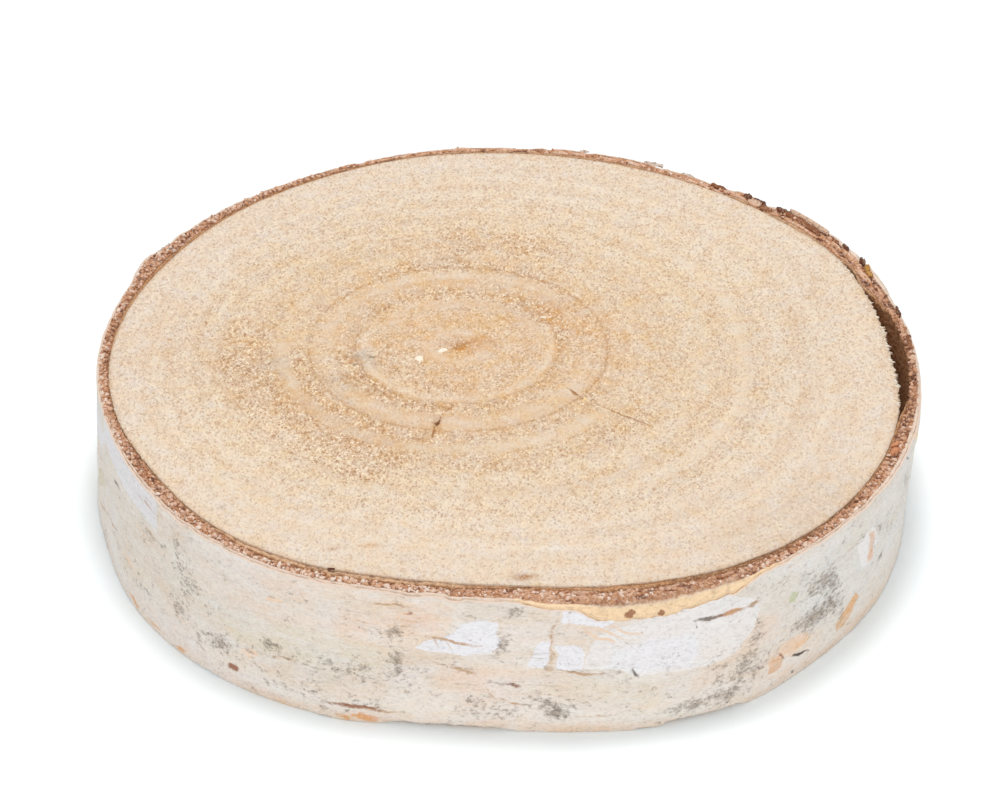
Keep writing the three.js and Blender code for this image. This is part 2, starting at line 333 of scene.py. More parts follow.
# Stains in the wood: place and size in millimetres, tilt in degrees, colour and strength
GREY_STAIN = shade(190, 172, 154)
BROWN_STAIN = shade(208, 164, 124)
DARK_STAIN = shade(176, 120, 76)
GLOW = shade(224, 172, 124)
CREAM = shade(247, 226, 194)
PALE = shade(244, 226, 204)
WOOD_STAINS = (
    ((-20, -95), (60, 26), 0, PALE, 0.45),
    ((5, 95), (60, 26), 0, PALE, 0.25),
    ((-90, -60), (26, 34), 30, CREAM, 0.30),
    ((60, 60), (40, 30), -30, CREAM, 0.25),
    ((100, 10), (26, 50), 0, GREY_STAIN, 0.10),
    ((110, 12), (9, 44), 0, PALE, 0.40),
    ((-44, -1), (8, 4), -15, GREY_STAIN, 0.60),
    ((-47, 2), (3, 2), -15, GREY_STAIN, 0.60),
    ((-78, -5), (11, 8), 10, GREY_STAIN, 0.46),
    ((-53, -13), (12, 5), -20, GREY_STAIN, 0.42),
    ((-88, -2), (12, 12), 0, BROWN_STAIN, 0.22),
    ((-70, -20), (18, 10), -40, BROWN_STAIN, 0.34),
    ((-50, -36), (20, 9), -35, BROWN_STAIN, 0.36),
    ((-32, -48), (18, 7), -15, BROWN_STAIN, 0.26),
    ((-108, 6), (16, 20), 0, BROWN_STAIN, 0.16),
    ((-18, 60), (5, 3), 0, GREY_STAIN, 0.32),
    ((-4, 72), (8, 8), 0, BROWN_STAIN, 0.20),
    ((10, 30), (13, 6), -20, DARK_STAIN, 0.36),
    ((16, 24), (10, 8), -40, GLOW, 0.45),
    ((28, 12), (12, 16), 20, GLOW, 0.24),
    ((-11, 7.8), (6.5, 4.6), 0, GLOW, 0.75),
    ((-15.2, 7.2), (3.0, 2.0), 0, DARK_STAIN, 0.8),
    ((-7.0, 10), (3.0, 3.4), 0, DARK_STAIN, 0.45),
    ((84, -93), (26, 12), 30, GREY_STAIN, 0.22),
    ((98, -74), (12, 8), 40, GREY_STAIN, 0.22),
    ((-21.6, -37.5), (1.8, 4.2), -6, DARK_STAIN, 0.55),
    ((64, -3), (2.2, 1.4), 20, DARK_STAIN, 0.6),
    ((99, 36), (3.5, 1.5), 10, BROWN_STAIN, 0.6),
    ((104, 47), (1.6, 1.0), 0, GREY_STAIN, 0.7),
    ((5.6, -118), (3.0, 1.6), 0, DARK_STAIN, 1.0),
    ((-52, -104), (2.0, 0.9), 10, DARK_STAIN, 0.7),
    ((-40, -102), (2.4, 0.9), 0, BROWN_STAIN, 0.6),
    ((-86, -82), (1.4, 1.0), 0, GREY_STAIN, 0.9),
)


def depth_inside(across, up, outline):
    """How far inside an outline each place lies, and below zero outside it."""
    nearest = np.full(len(across), np.inf)
    inside = np.zeros(len(across), bool)
    for (x0, y0), (x1, y1) in zip(outline, outline[1:] + outline[:1]):
        dx, dy = x1 - x0, y1 - y0
        share = np.clip(((across - x0) * dx + (up - y0) * dy) / (dx * dx + dy * dy), 0, 1)
        nearest = np.minimum(nearest, np.hypot(across - x0 - share * dx, up - y0 - share * dy))
        if dy:
            inside ^= ((y0 > up) != (y1 > up)) & (across < x0 + (up - y0) * dx / dy)
    return np.where(inside, nearest, -nearest)


def nearest_lap(across, middle, lap):
    """Places along a surface, moved by whole laps of a closed one to where they lie nearest to a middle."""
    if lap is None:
        return across
    return middle + (across - middle + lap / 2) % lap - lap / 2


def painted(across, up, ovals, patches=(), lap=None):
    """Lays patches with outlines and then soft ovals over one another: the colour, and its strength."""
    layers = []
    for outline, soft, tint, strength in patches:
        middle = sum(x for x, _ in outline) / len(outline)
        depth = depth_inside(nearest_lap(across, middle, lap), up, outline)
        layers.append((strength * smooth(depth, -soft, soft), tint))
    for middle, (half_length, half_width), tilt, tint, strength in ovals:
        along, aside = along_and_aside(nearest_lap(across, middle[0], lap), up, middle, tilt)
        layers.append((strength * np.exp(-((along / half_length) ** 2) - (aside / half_width) ** 2), tint))
    colour = np.zeros((len(across), 3))
    cover = np.zeros(len(across))
    for laid_on, tint in layers:
        colour = colour * (1 - laid_on)[:, None] + np.array(tint) * laid_on[:, None]
        cover = cover * (1 - laid_on) + laid_on
    return np.column_stack([colour / np.maximum(cover, 1e-6)[:, None], cover])


wavy = 1.5 * patches
give(wood.data, "stain", painted(spots[:, 0] / MM + wavy, spots[:, 1] / MM + wavy, WOOD_STAINS))


def add(tree, kind, inputs, **settings):
    """A shader node, its settings, and its inputs, each a value or another node's output."""
    made = tree.nodes.new("ShaderNode" + kind)
    for name, value in settings.items():
        setattr(made, name, value)
    for name, value in inputs.items():
        if isinstance(value, bpy.types.NodeSocket):
            tree.links.new(value, made.inputs[name])
        else:
            made.inputs[name].default_value = value
    return made


def attribute(tree, name):
    return add(tree, "Attribute", {}, attribute_name=name).outputs["Fac"]


def stored(tree, name):
    """A colour stored at the points, and its strength."""
    outputs = add(tree, "Attribute", {}, attribute_name=name).outputs
    return outputs["Color"], outputs["Alpha"]


def spread(tree, stretch):
    """The object's own coordinates, stretched."""
    where = add(tree, "TexCoord", {}).outputs["Object"]
    return add(tree, "Mapping", {"Vector": where, "Scale": stretch}).outputs["Vector"]


def speckle(tree, size, stretch=(1, 1, 1), detail=3, roughness=0.6):
    """Cloudy noise with features of the given size in metres."""
    inputs = {"Vector": spread(tree, stretch), "Scale": 1 / size, "Detail": detail, "Roughness": roughness}
    return add(tree, "TexNoise", inputs).outputs["Fac"]


def grains(tree, size, stretch=(1, 1, 1)):
    """Crisp grains of the given size: each one's own number from 0 to 1, and the distance to its middle."""
    cells = add(tree, "TexVoronoi", {"Vector": spread(tree, stretch), "Scale": 1 / size})
    number = add(tree, "SeparateColor", {"Color": cells.outputs["Color"]}).outputs[0]
    return number, cells.outputs["Distance"]


def ramp(tree, factor, stops):
    """A value or a colour that changes along a factor, through (place, value or colour) stops."""
    made = add(tree, "ValToRGB", {"Fac": factor})
    elements = made.color_ramp.elements
    for _ in range(len(stops) - 2):
        elements.new(0.5)
    for element, (where, value) in zip(elements, stops):
        element.position = where
        element.color = (value, value, value, 1) if isinstance(value, (int, float)) else (*value, 1)
    return made.outputs["Color"]


def sums(tree, operation, a, b, c=None, clamp=False):
    """An operation on two or three numbers or outputs, whose result may be kept from 0 to 1."""
    inputs = {0: a, 1: b} if c is None else {0: a, 1: b, 2: c}
    return add(tree, "Math", inputs, operation=operation, use_clamp=clamp).outputs[0]


def times(tree, a, b, clamp=False):
    return sums(tree, "MULTIPLY", a, b, clamp=clamp)


def mixed(tree, factor, a, b):
    """Colour a, with colour b over it by the factor."""
    made = add(tree, "Mix", {}, data_type="RGBA", blend_type="MIX")
    for socket, value in ((0, factor), (6, a), (7, b)):
        if isinstance(value, bpy.types.NodeSocket):
            tree.links.new(value, made.inputs[socket])
        else:
            made.inputs[socket].default_value = (*value, 1) if isinstance(value, tuple) else value
    return made.outputs[2]


def flecked(tree, tone, number, strength, light, dark, share=0.42):
    """The tone with light flecks where a grain's number is high and dark ones where it is low.

    The share is how many of the grains are flecks of each kind.
    """
    tips = times(tree, ramp(tree, number, [(1 - share, 0.0), (1.0, 1.0)]), strength)
    pits = times(tree, ramp(tree, number, [(0.0, 1.0), (share, 0.0)]), strength)
    return mixed(tree, pits, mixed(tree, tips, tone, light), dark)


def tinged(tree, tone, size, depth, turn, stretch=(1, 1, 1)):
    """The tone in patches of richer and paler, and of pinker and yellower, colour, as light as before."""
    richer = speckle(tree, size, stretch, detail=6, roughness=0.72)
    pinker = speckle(tree, 1.3 * size, stretch, detail=5, roughness=0.68)
    saturation = sums(tree, "MULTIPLY_ADD", sums(tree, "SUBTRACT", richer, 0.5), 2 * depth, 1.0)
    hue = sums(tree, "MULTIPLY_ADD", sums(tree, "SUBTRACT", pinker, 0.5), turn, 0.5)
    inputs = {"Color": tone, "Saturation": saturation, "Hue": hue}
    return add(tree, "HueSaturation", inputs).outputs["Color"]


def surface(name, roughness, specular):
    """A material with its shader, ready for its colour and bump."""
    material = bpy.data.materials.new(name)
    material.use_nodes = True
    tree = material.node_tree
    shader = tree.nodes["Principled BSDF"]
    shader.inputs["Roughness"].default_value = roughness
    shader.inputs["Specular IOR Level"].default_value = specular
    return material, tree, shader


def bump(tree, shader, height, distance, strength=1.0):
    made = add(tree, "Bump", {"Height": height, "Distance": distance, "Strength": strength})
    tree.links.new(made.outputs["Normal"], shader.inputs["Normal"])


# The wood's tone by the distance from the pith in millimetres along +X, and how light each ring is
WOOD_TONES = (
    (0, shade(206, 154, 108)),
    (3, shade(225, 186, 146)),
    (8, shade(229, 195, 159)),
    (22, shade(230, 198, 164)),
    (40, shade(229, 198, 165)),
    (58, shade(230, 203, 172)),
    (79, shade(231, 207, 179)),
    (103, shade(235, 216, 195)),
    (134, shade(236, 218, 200)),
    (138, shade(230, 208, 186)),
)
RING_LIGHT = (
    (6, 0.5), (9, 0.70), (12, 0.42), (17, 0.54), (23, 0.42), (27, 0.50), (30.5, 0.74), (32.6, 0.16),
    (36, 0.36), (41, 0.56), (46.5, 0.60), (48.2, 0.08), (50, 0.52), (53, 0.40), (58, 0.62), (61.5, 0.50),
    (67, 0.40), (73, 0.54), (79.5, 0.66), (83, 0.40), (89, 0.50), (92, 0.84), (95, 0.40), (104, 0.58),
    (110, 0.40), (116, 0.60), (123, 0.44), (130, 0.54),
)
RING_DARK, RING_PALE = shade(204, 166, 128), shade(248, 232, 210)
# Ends of the torn fibres, pale and dark: partly their own colour, partly painted highlight and painted
# shade standing in for their relief
PALE_FIBRE_AND_HIGHLIGHT = shade(255, 236, 208)
DARK_FIBRE_AND_SHADE = shade(180, 138, 100)
GOLDEN_FIBRE_AND_HIGHLIGHT = shade(255, 236, 196)
RUSTY_AND_SHADE = shade(188, 142, 98)
RUSTY = shade(216, 160, 106)
# Thin dark lines just outside the hard rings: distance and half width in millimetres, and strength
RING_LINES = (
    (12.5, 0.5, 0.35),
    (22.3, 0.5, 0.5),
    (32.6, 0.7, 0.8),
    (48.4, 0.6, 0.9),
    (62.2, 0.6, 0.4),
    (95.0, 0.7, 0.35),
)
RING_WANDER = 7 * MM  # how long the waves in a ring are
RING_FADE = 45 * MM  # how long a stretch of a ring shows strongly or faintly
THIN_RINGS = 50.0  # faint thin rings between the pith and the edge
SAW_WAY = (1, 0.62, 1)  # the saw drew the fuzz out a little along Y
# Sizes of what it left, from a single fibre's end to a cloud of them
FIBRE_END, TORN_END, TUFT, CLUMP, CLOUD = 0.42 * MM, 0.5 * MM, 0.85 * MM, 1.2 * MM, 2.2 * MM


def split_mask(tree, middle, tilt, half_length, half_width):
    """One inside a thin split, wandering and with pointed ends, and 0 outside."""
    lie = {
        "Vector": add(tree, "TexCoord", {}).outputs["Object"],
        "Location": (middle[0] * MM, middle[1] * MM, 0),
        "Rotation": (0, 0, math.radians(tilt)),
    }
    own = add(tree, "Mapping", lie, vector_type="TEXTURE").outputs["Vector"]
    axes = add(tree, "SeparateXYZ", {"Vector": own}).outputs
    way_out = sums(tree, "DIVIDE", sums(tree, "ABSOLUTE", axes[0], 0), half_length * MM)
    share = sums(tree, "POWER", way_out, 2)
    broken = ramp(tree, speckle(tree, 2.2 * MM), [(0.38, 0.2), (0.56, 1.3)])
    width = times(tree, sums(tree, "SUBTRACT", 1.0, share), half_width * MM)
    wander = times(tree, sums(tree, "SUBTRACT", speckle(tree, 3 * MM), 0.5), 2.4 * MM)
    aside = sums(tree, "ABSOLUTE", sums(tree, "ADD", axes[1], wander), 0)
    inside = sums(tree, "SUBTRACT", times(tree, width, broken), aside)
    return times(tree, inside, 1 / (0.2 * MM), clamp=True)


def ringed(tree, ring, beads):
    """The wood's tone from the pith to the edge, with lighter and darker rings and thin dark lines."""
    last = WOOD_TONES[-1][0]
    tone = ramp(tree, ring, [(where / last, colour) for where, colour in WOOD_TONES])
    light = ramp(tree, ring, [(where / last, value) for where, value in RING_LIGHT])
    fade = ramp(tree, speckle(tree, RING_FADE, detail=2), [(0.36, 0.55), (0.6, 1.0)])
    tone = flecked(tree, tone, light, fade, RING_PALE, RING_DARK, 0.5)
    thin = add(tree, "TexNoise", {"W": ring, "Scale": THIN_RINGS, "Detail": 4.0}, noise_dimensions="1D")
    thin = ramp(tree, thin.outputs["Fac"], [(0.34, 0.0), (0.66, 1.0)])
    tone = flecked(tree, tone, thin, times(tree, fade, 0.16), RING_PALE, RING_DARK)
    for at, half_width, strength in RING_LINES:
        away = sums(tree, "ABSOLUTE", sums(tree, "SUBTRACT", ring, at / last), 0)
        near = sums(tree, "MULTIPLY_ADD", away, -last / half_width, 1.0, clamp=True)
        line = times(tree, times(tree, near, beads), times(tree, fade, strength))
        tone = mixed(tree, line, tone, RUSTY_AND_SHADE)
    return tone


def fuzzy(tree, tone, fray, small, middling):
    """The tone with the ends of torn fibres in it, from clouds to the finest: pale tips and dark pits,
    partly the fibres' own colour and partly painted highlight and painted shade of their relief.
    """
    cloud = ramp(tree, speckle(tree, CLOUD, SAW_WAY, detail=2), [(0.34, 0.0), (0.66, 1.0)])
    tone = flecked(tree, tone, cloud, times(tree, fray, 0.12), PALE_FIBRE_AND_HIGHLIGHT, DARK_FIBRE_AND_SHADE)
    tone = flecked(tree, tone, middling, times(tree, fray, 0.60), GOLDEN_FIBRE_AND_HIGHLIGHT, RUSTY_AND_SHADE, 0.22)
    tone = flecked(tree, tone, small, times(tree, fray, 0.60), PALE_FIBRE_AND_HIGHLIGHT, DARK_FIBRE_AND_SHADE)
    crisp = grains(tree, TORN_END, SAW_WAY)[0]
    return flecked(tree, tone, crisp, times(tree, fray, 1.35), PALE_FIBRE_AND_HIGHLIGHT, DARK_FIBRE_AND_SHADE, 0.24)


def sawn_wood_material():
    material, tree, shader = surface("sawn_wood", roughness=0.92, specular=0.15)
    wave = sums(tree, "SUBTRACT", times(tree, speckle(tree, RING_WANDER, detail=4), 2.0), 1.0)
    ring = sums(tree, "DIVIDE", sums(tree, "ADD", attribute(tree, "ring"), wave), WOOD_TONES[-1][0])
    small = grains(tree, FIBRE_END, SAW_WAY)[0]
    middling = grains(tree, TUFT, SAW_WAY)[0]
    both = sums(tree, "ADD", small, middling)
    tone = ringed(tree, ring, ramp(tree, times(tree, both, 0.5), [(0.3, 1.0), (0.7, 0.2)]))
    stain, stained = stored(tree, "stain")
    patchy = ramp(tree, speckle(tree, 4 * MM, detail=4), [(0.36, 0.5), (0.62, 1.15)])
    tone = mixed(tree, times(tree, stained, patchy), tone, stain)
    torn = attribute(tree, "torn")
    very_torn = sums(tree, "MAXIMUM", torn, 0.0)
    tone = mixed(tree, times(tree, very_torn, 0.22), tone, RUSTY)
    tone = tinged(tree, tone, 6 * MM, 1.0, 0.022)
    outermost = ramp(tree, ring, [(0.70, 0.0), (0.86, 0.08)])
    fray = sums(tree, "SUBTRACT", sums(tree, "MULTIPLY_ADD", torn, 0.34, 0.46), outermost, clamp=True)
    tone = fuzzy(tree, tone, fray, small, middling)
    coarse = ramp(tree, grains(tree, CLUMP, SAW_WAY)[0], [(0.84, 0.0), (0.90, 0.55)])
    tone = mixed(tree, times(tree, coarse, very_torn), tone, SPLIT_BROWN)
    for middle, tilt, half_length, half_width, strength, _, colour in SPLITS:
        mask = split_mask(tree, middle, tilt, half_length, half_width)
        tone = mixed(tree, times(tree, mask, strength), tone, colour)
    tree.links.new(tone, shader.inputs["Base Color"])
    bump(tree, shader, both, 0.22 * MM, 0.6)
    return material


wood.data.materials.append(sawn_wood_material())
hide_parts("wood")

# The splinters
# Slivers of wood that the saw left standing from the disc's edge over the gap, pale and sharp. Each is
# still joined to the disc, and none is as long as the gap is wide.

SPLINTERS = 300
SPLINTER_SPAN = (-22, 32)  # degrees round the pith
SPLINTER_LENGTH = (0.4, 2.2, 0.7)  # shortest, longest and commonest, in millimetres
SPLINTER_RADIUS = (0.3, 0.9)  # millimetres
SHORTEST = 0.45 * MM  # where the gap leaves room for less than this, none stands
ROOT_DEPTH = 0.3 * MM
SPLINTER_PALE, SPLINTER_TAN = shade(250, 240, 224), shade(222, 198, 168)


def splinters():
    bm = bmesh.new()
    dice = random.Random(5)
    for _ in range(SPLINTERS):
        angle = math.radians(dice.uniform(*SPLINTER_SPAN))
        here = np.array([angle])
        length = min(dice.triangular(*SPLINTER_LENGTH) * MM, 0.5 * reach_at(gap_reach, here)[0])
        down = dice.uniform(0.1, 3.0) * MM
        if length < SHORTEST:
            continue
        root = reach_at(wood_reach[SIDE_HEIGHTS[-1]], here)[0] - ROOT_DEPTH
        spot = PITH + Vector((root * math.cos(angle), root * math.sin(angle), THICKNESS - down))
        turn = Matrix.Rotation(angle + dice.uniform(-0.9, 0.9), 4, "Z")
        dip = Matrix.Rotation(math.radians(90 + dice.uniform(-14, 22)), 4, "Y")
        lay = Matrix.Translation(spot) @ turn @ dip @ Matrix.Translation((0, 0, length / 2))
        bmesh.ops.create_cone(
            bm,
            cap_ends=True,
            segments=5,
            radius1=dice.uniform(*SPLINTER_RADIUS) * MM,
            radius2=0.03 * MM,
            depth=length + ROOT_DEPTH,
            matrix=lay,
        )
    return bm


def splinter_material():
    material, tree, shader = surface("splinters", roughness=0.9, specular=0.15)
    tone = ramp(tree, speckle(tree, 1.5 * MM), [(0.35, SPLINTER_TAN), (0.6, SPLINTER_PALE)])
    tree.links.new(tone, shader.inputs["Base Color"])
    return material


slivers = finished("splinters", splinters())
place(slivers.data, positions(slivers.data))
slivers.data.materials.append(splinter_material())
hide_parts("wood")

# The inner bark
# A brown ring of cork and bast, 4 to 8 mm thick, which grew round the wood. The saw broke its cork into
# grains; next to the wood it is smooth and orange-brown, and its outermost layers are cream and papery.

BARK_HEIGHTS = tuple(share * THICKNESS for share in (0.02, 0.12, 0.24, 0.36, 0.5, 0.62, 0.74, 0.84, 0.9))
SKIN = 0.7 * MM  # thickness of the white skin outside the inner bark
BARK_RADIUS = 132.5 * MM  # the trunk's mean radius, for turning angles into lengths round it
bark_reach = {height: side_reach(bark_solid, MIDDLE, height, outside=True) for height in BARK_HEIGHTS}
inner_reach = {height: side_reach(bark_solid, MIDDLE, height) for height in SIDE_HEIGHTS}
INNER_COLUMNS = 1500
RIM_CELLS = 16
RIM_DROP = 0.7 * MM  # how far the rim of the bark lies below the wood's face
CRACK_DEPTH = 0.7 * MM  # how far the cracks between the grains lie below the rim
CORK_GRAIN = 1.5 * MM
FINE_GRAIN = 0.5 * MM
LAYERS = 3.0  # bast, cork and paper


def bent_ring(section, columns, crowd=0.0):
    """A grid bent into a closed ring with the given section, as (share across, share up) corners.

    Its columns may be crowded towards -Y, which leaves fewer of them at +Y.
    """
    bm = bmesh.new()
    bmesh.ops.create_grid(bm, x_segments=columns, y_segments=len(section), size=0.5)
    for vert in bm.verts:
        turn = vert.co.x * TURN
        turn -= crowd * math.sin(turn + TURN / 4)
        across, up = section[round((vert.co.y + 0.5) * len(section)) % len(section)]
        vert.co = ((1 + across) * math.cos(turn), (1 + across) * math.sin(turn), up)
    bmesh.ops.remove_doubles(bm, verts=[v for v in bm.verts if v.is_boundary], dist=1e-5)
    bmesh.ops.recalc_face_normals(bm, faces=bm.faces)
    return bm


def ring_places(mesh):
    """Each point's angle, share of the way across the ring, and share of the way up."""
    points = positions(mesh)
    return np.arctan2(points[:, 1], points[:, 0]), np.hypot(points[:, 0], points[:, 1]) - 1, points[:, 2]


# How far down the torn strip of cream paper reaches at the front, by angle
STRIP_EDGE = (
    (-88, 0), (-86, 1.2), (-81, 1.9), (-79.8, 3.6), (-78.4, 5.6), (-76, 6.4),
    (-70, 7.0), (-67, 5.6), (-63, 4.6), (-60, 3.5), (-57, 1.6), (-54, 0),
)


def torn_skin(angle):
    """How far the white skin has torn away below the rim, at the front, at the right and in nicks."""
    where = at_radius(angle, BARK_RADIUS, 0)
    nicks = 0.6 * MM * smooth(noise_at(where, 7 * MM, seed=13), 0.2, 0.5)
    front = np.interp(np.degrees(angle), *zip(*STRIP_EDGE), left=0, right=0) * MM
    front *= 1 + 0.10 * noise_at(where, 3.5 * MM, seed=14, octaves=3)
    return nicks + front + 1.6 * MM * around(angle, -8, 12, 14)


def rim_height(angle):
    """The sawn rim's height: level with the wood, and low and uneven where it has crumbled."""
    where = at_radius(angle, BARK_RADIUS, 0)
    crumbled = 0.45 * MM * noise_at(where, 9 * MM, seed=11) + 0.25 * MM * noise_at(where, 2.5 * MM, seed=12)
    strips = 0.8 * MM * (around(angle, 49, 52, 2) + around(angle, 34, 44, 3))
    back = 0.9 * MM * around(angle, 70, 160, 25)
    return THICKNESS - RIM_DROP + crumbled + strips + back


def notch(angle):
    """How high the bark's foot has broken away from the floor, in two places at the front."""
    return 1.5 * MM * around(angle, -104, -92, 4) + 1.6 * MM * around(angle, -68, -60, 3)


def lumps(points, size, seed):
    """Rounded grains: how high each point stands on its grain, from 0 in the cracks to 1."""
    start = Vector((seed * 3.7, seed * 1.3, 0))
    nearest = np.array([noise.voronoi(Vector(p) / size + start)[0][0] for p in points])
    return 1 - np.clip(nearest * 1.3, 0, 1) ** 2


inner_section = (
    [(0, up) for up in (0, 0.3, 0.6, 0.8, 0.9, 0.95, 0.98)]
    + [(cell / RIM_CELLS, 1) for cell in range(RIM_CELLS + 1)]
    + [(1, up) for up in (0.985, 0.97, 0.955, 0.94, 0.92, 0.9, 0.87, 0.8, 0.4, 0)]
    + [(0.5, 0)]
)
inner_bark = finished("inner_bark", bent_ring(inner_section, INNER_COLUMNS, crowd=0.25))
angle, across, up = ring_places(inner_bark.data)
height = up * THICKNESS
inside = reach_between(inner_reach, angle, height)
outside = reach_between(bark_reach, angle, height) - SKIN
radius = inside + across * (outside - inside)
# The bast ends and the paper begins at these shares of the way across.
bast = 0.12 + 0.26 * around(angle, -128, -98, 6) + 0.12 * around(angle, -76, -48, 6)
bast += 0.07 * noise_at(at_radius(angle, BARK_RADIUS, 0), 20 * MM, seed=24)
paper = 0.89 - 0.10 * around(angle, -78, -60, 4) - 0.03 * around(angle, -126, -82, 8)
paper -= 0.09 * around(angle, -30, 45, 8)
cork = smooth(across, bast, bast + 0.1) * (1 - smooth(across, paper - 0.06, paper))
flat = at_radius(angle, radius, 0)
heaped = 1.0 * MM * lumps(flat, 1.9 * MM, 1) + 0.4 * MM * lumps(flat, 0.9 * MM, 2)
# Where it tore, the bark shows long layered strands instead of grains.
along_layers = np.column_stack([angle * BARK_RADIUS / 6, radius, 0 * angle])
strands = noise_at(along_layers, 0.9 * MM, seed=25, octaves=3)
stringy = np.clip(around(angle, 12, 112, 12) + 0.75 * around(angle, -94, -62, 8), 0, 1)
heaped = heaped * (1 - stringy) + (0.5 + 0.7 * strands) * MM * stringy
fall = torn_skin(angle) * smooth(across, 0.62, 1.0)
shallow = smooth(noise_at(flat, 9 * MM, seed=26), -0.3, 0.3)
groove = 0.35 * MM * smooth(across, 0, 0.02) * (1 - smooth(across, 0.05, 0.12)) * (1 - 0.8 * shallow)
rim = rim_height(angle) - fall * 0.9 + (heaped - CRACK_DEPTH) * cork - groove
wall = up * (rim_height(angle) - fall) + notch(angle) * (across > 0.9) * (1 - up)
height = np.where(up > 0.999, rim, wall)
rough = noise_at(at_radius(angle, radius, height), 2.2 * MM, seed=23)
radius = np.maximum(radius + np.where(up < 0.999, 0.25 * MM * rough, 0), inside)
# Its inner edge leans in against the wood, and back from it, ragged, where the gap is wide.
pith_angle = np.arctan2(radius * np.sin(angle) - PITH.y, radius * np.cos(angle) - PITH.x)
open_gap = np.clip(reach_at(gap_reach, pith_angle) - JOINED, 0, 3 * MM)
lean_back = np.clip(0.42 + 0.3 * noise_at(flat, 2.4 * MM, seed=27, octaves=3), 0.1, 0.8)
overhang = 0.35 * MM - open_gap * lean_back
radius -= overhang * smooth(up, 0.72, 1.0) * (1 - smooth(across, 0.0, 0.35))
spots = at_radius(angle, radius, height)
place(inner_bark.data, spots)
# The layer is 0 to 1 across the bast, 1 to 2 across the cork and 2 to 3 across the paper.
layer = np.where(across < bast, across / bast, 1 + (across - bast) / (paper - bast))
layer = np.where(across >= paper, 2 + (across - paper) / (1 - paper), layer)
give(inner_bark.data, "layer", layer)
give(inner_bark.data, "cork", cork)
give(inner_bark.data, "strand", np.clip(0.5 + 0.6 * strands, 0, 1))
give(inner_bark.data, "stringy", stringy)
# Above zero the bast is painted pale; below zero it is darkened as painted shade of the groove and gap
# between wood and bark: its outer part at the front left, all of it from -64 to -38 degrees and, half as
# strong, in the gap at the right
pale_bast_and_shade = around(angle, -150, -98, 6) * (1 - 1.8 * smooth(across / bast, 0.45, 0.8))
pale_bast_and_shade += 0.5 * around(angle, 20, 100, 10)
give(inner_bark.data, "bast", pale_bast_and_shade - around(angle, -64, -38, 5) - 0.5 * around(angle, -16, 16, 4))
give(inner_bark.data, "darker", 0.26 * around(angle, -18, 34, 8) + 0.12 * around(angle, -80, -60, 5))
give(inner_bark.data, "cream", around(angle, -88, -54, 2) * (up > 0.6))
# Brown flecks on the torn strip: angle in degrees and height, half length and half width in millimetres,
# tilt in degrees and strength
FLECKS = (
    ((-74.0, 43.6), (2.0, 0.9), 12, 1.0),
    ((-70.0, 42.6), (1.5, 0.7), 12, 1.0),
    ((-75.6, 42.2), (0.9, 0.3), 12, 1.0),
)


def along_bark(corner):
    """A place on the bark, by angle in degrees and height, as millimetres round it and up."""
    return math.radians(corner[0]) * BARK_RADIUS / MM, corner[1]


def strength_on_bark(run, rise, marks, lap=None):
    """How strongly ovals without a colour of their own show at each place on the bark."""
    ovals = [(along_bark(middle), *shape, (0, 0, 0), strength) for middle, *shape, strength in marks]
    return painted(run, rise, ovals, lap=lap)[:, 3]


give(inner_bark.data, "fleck", strength_on_bark(angle * BARK_RADIUS / MM, height / MM, FLECKS))

# What the layers are coloured, from the wood outwards, and the grains from the darkest to the palest
BAST_DARK_AND_SHADE, BAST, BAST_PALE = shade(124, 82, 54), shade(190, 136, 92), shade(210, 162, 118)
BAST_LIGHT, FLECK_BROWN = shade(230, 196, 164), shade(158, 100, 70)
CORK_DARK_AND_SHADE, CORK, CORK_WARM = shade(114, 70, 48), shade(194, 138, 102), shade(218, 166, 128)
CORK_PINK, CORK_PALE, CORK_ORANGE = shade(232, 194, 168), shade(247, 226, 210), shade(212, 142, 88)
PAPER_DARK, PAPER, PAPER_CREAM = shade(186, 140, 108), shade(240, 218, 200), shade(255, 224, 184)
# Where each colour lies on the way out through the layers
BARK_TONES = (
    (0.00, BAST),
    (0.10, BAST_PALE),
    (0.26, BAST),
    (0.33, BAST_DARK_AND_SHADE),
    (0.38, CORK),
    (0.60, CORK),
    (0.66, PAPER_DARK),
    (0.70, PAPER),
    (1.00, PAPER),
)
GRAIN_TONES = ((0.0, CORK_DARK_AND_SHADE), (0.22, CORK), (0.5, CORK_WARM), (0.74, CORK_PINK), (0.92, CORK_PALE))
STRAND_TONES = ((0.16, CORK_DARK_AND_SHADE), (0.38, CORK), (0.56, CORK_WARM), (0.74, CORK_PINK))


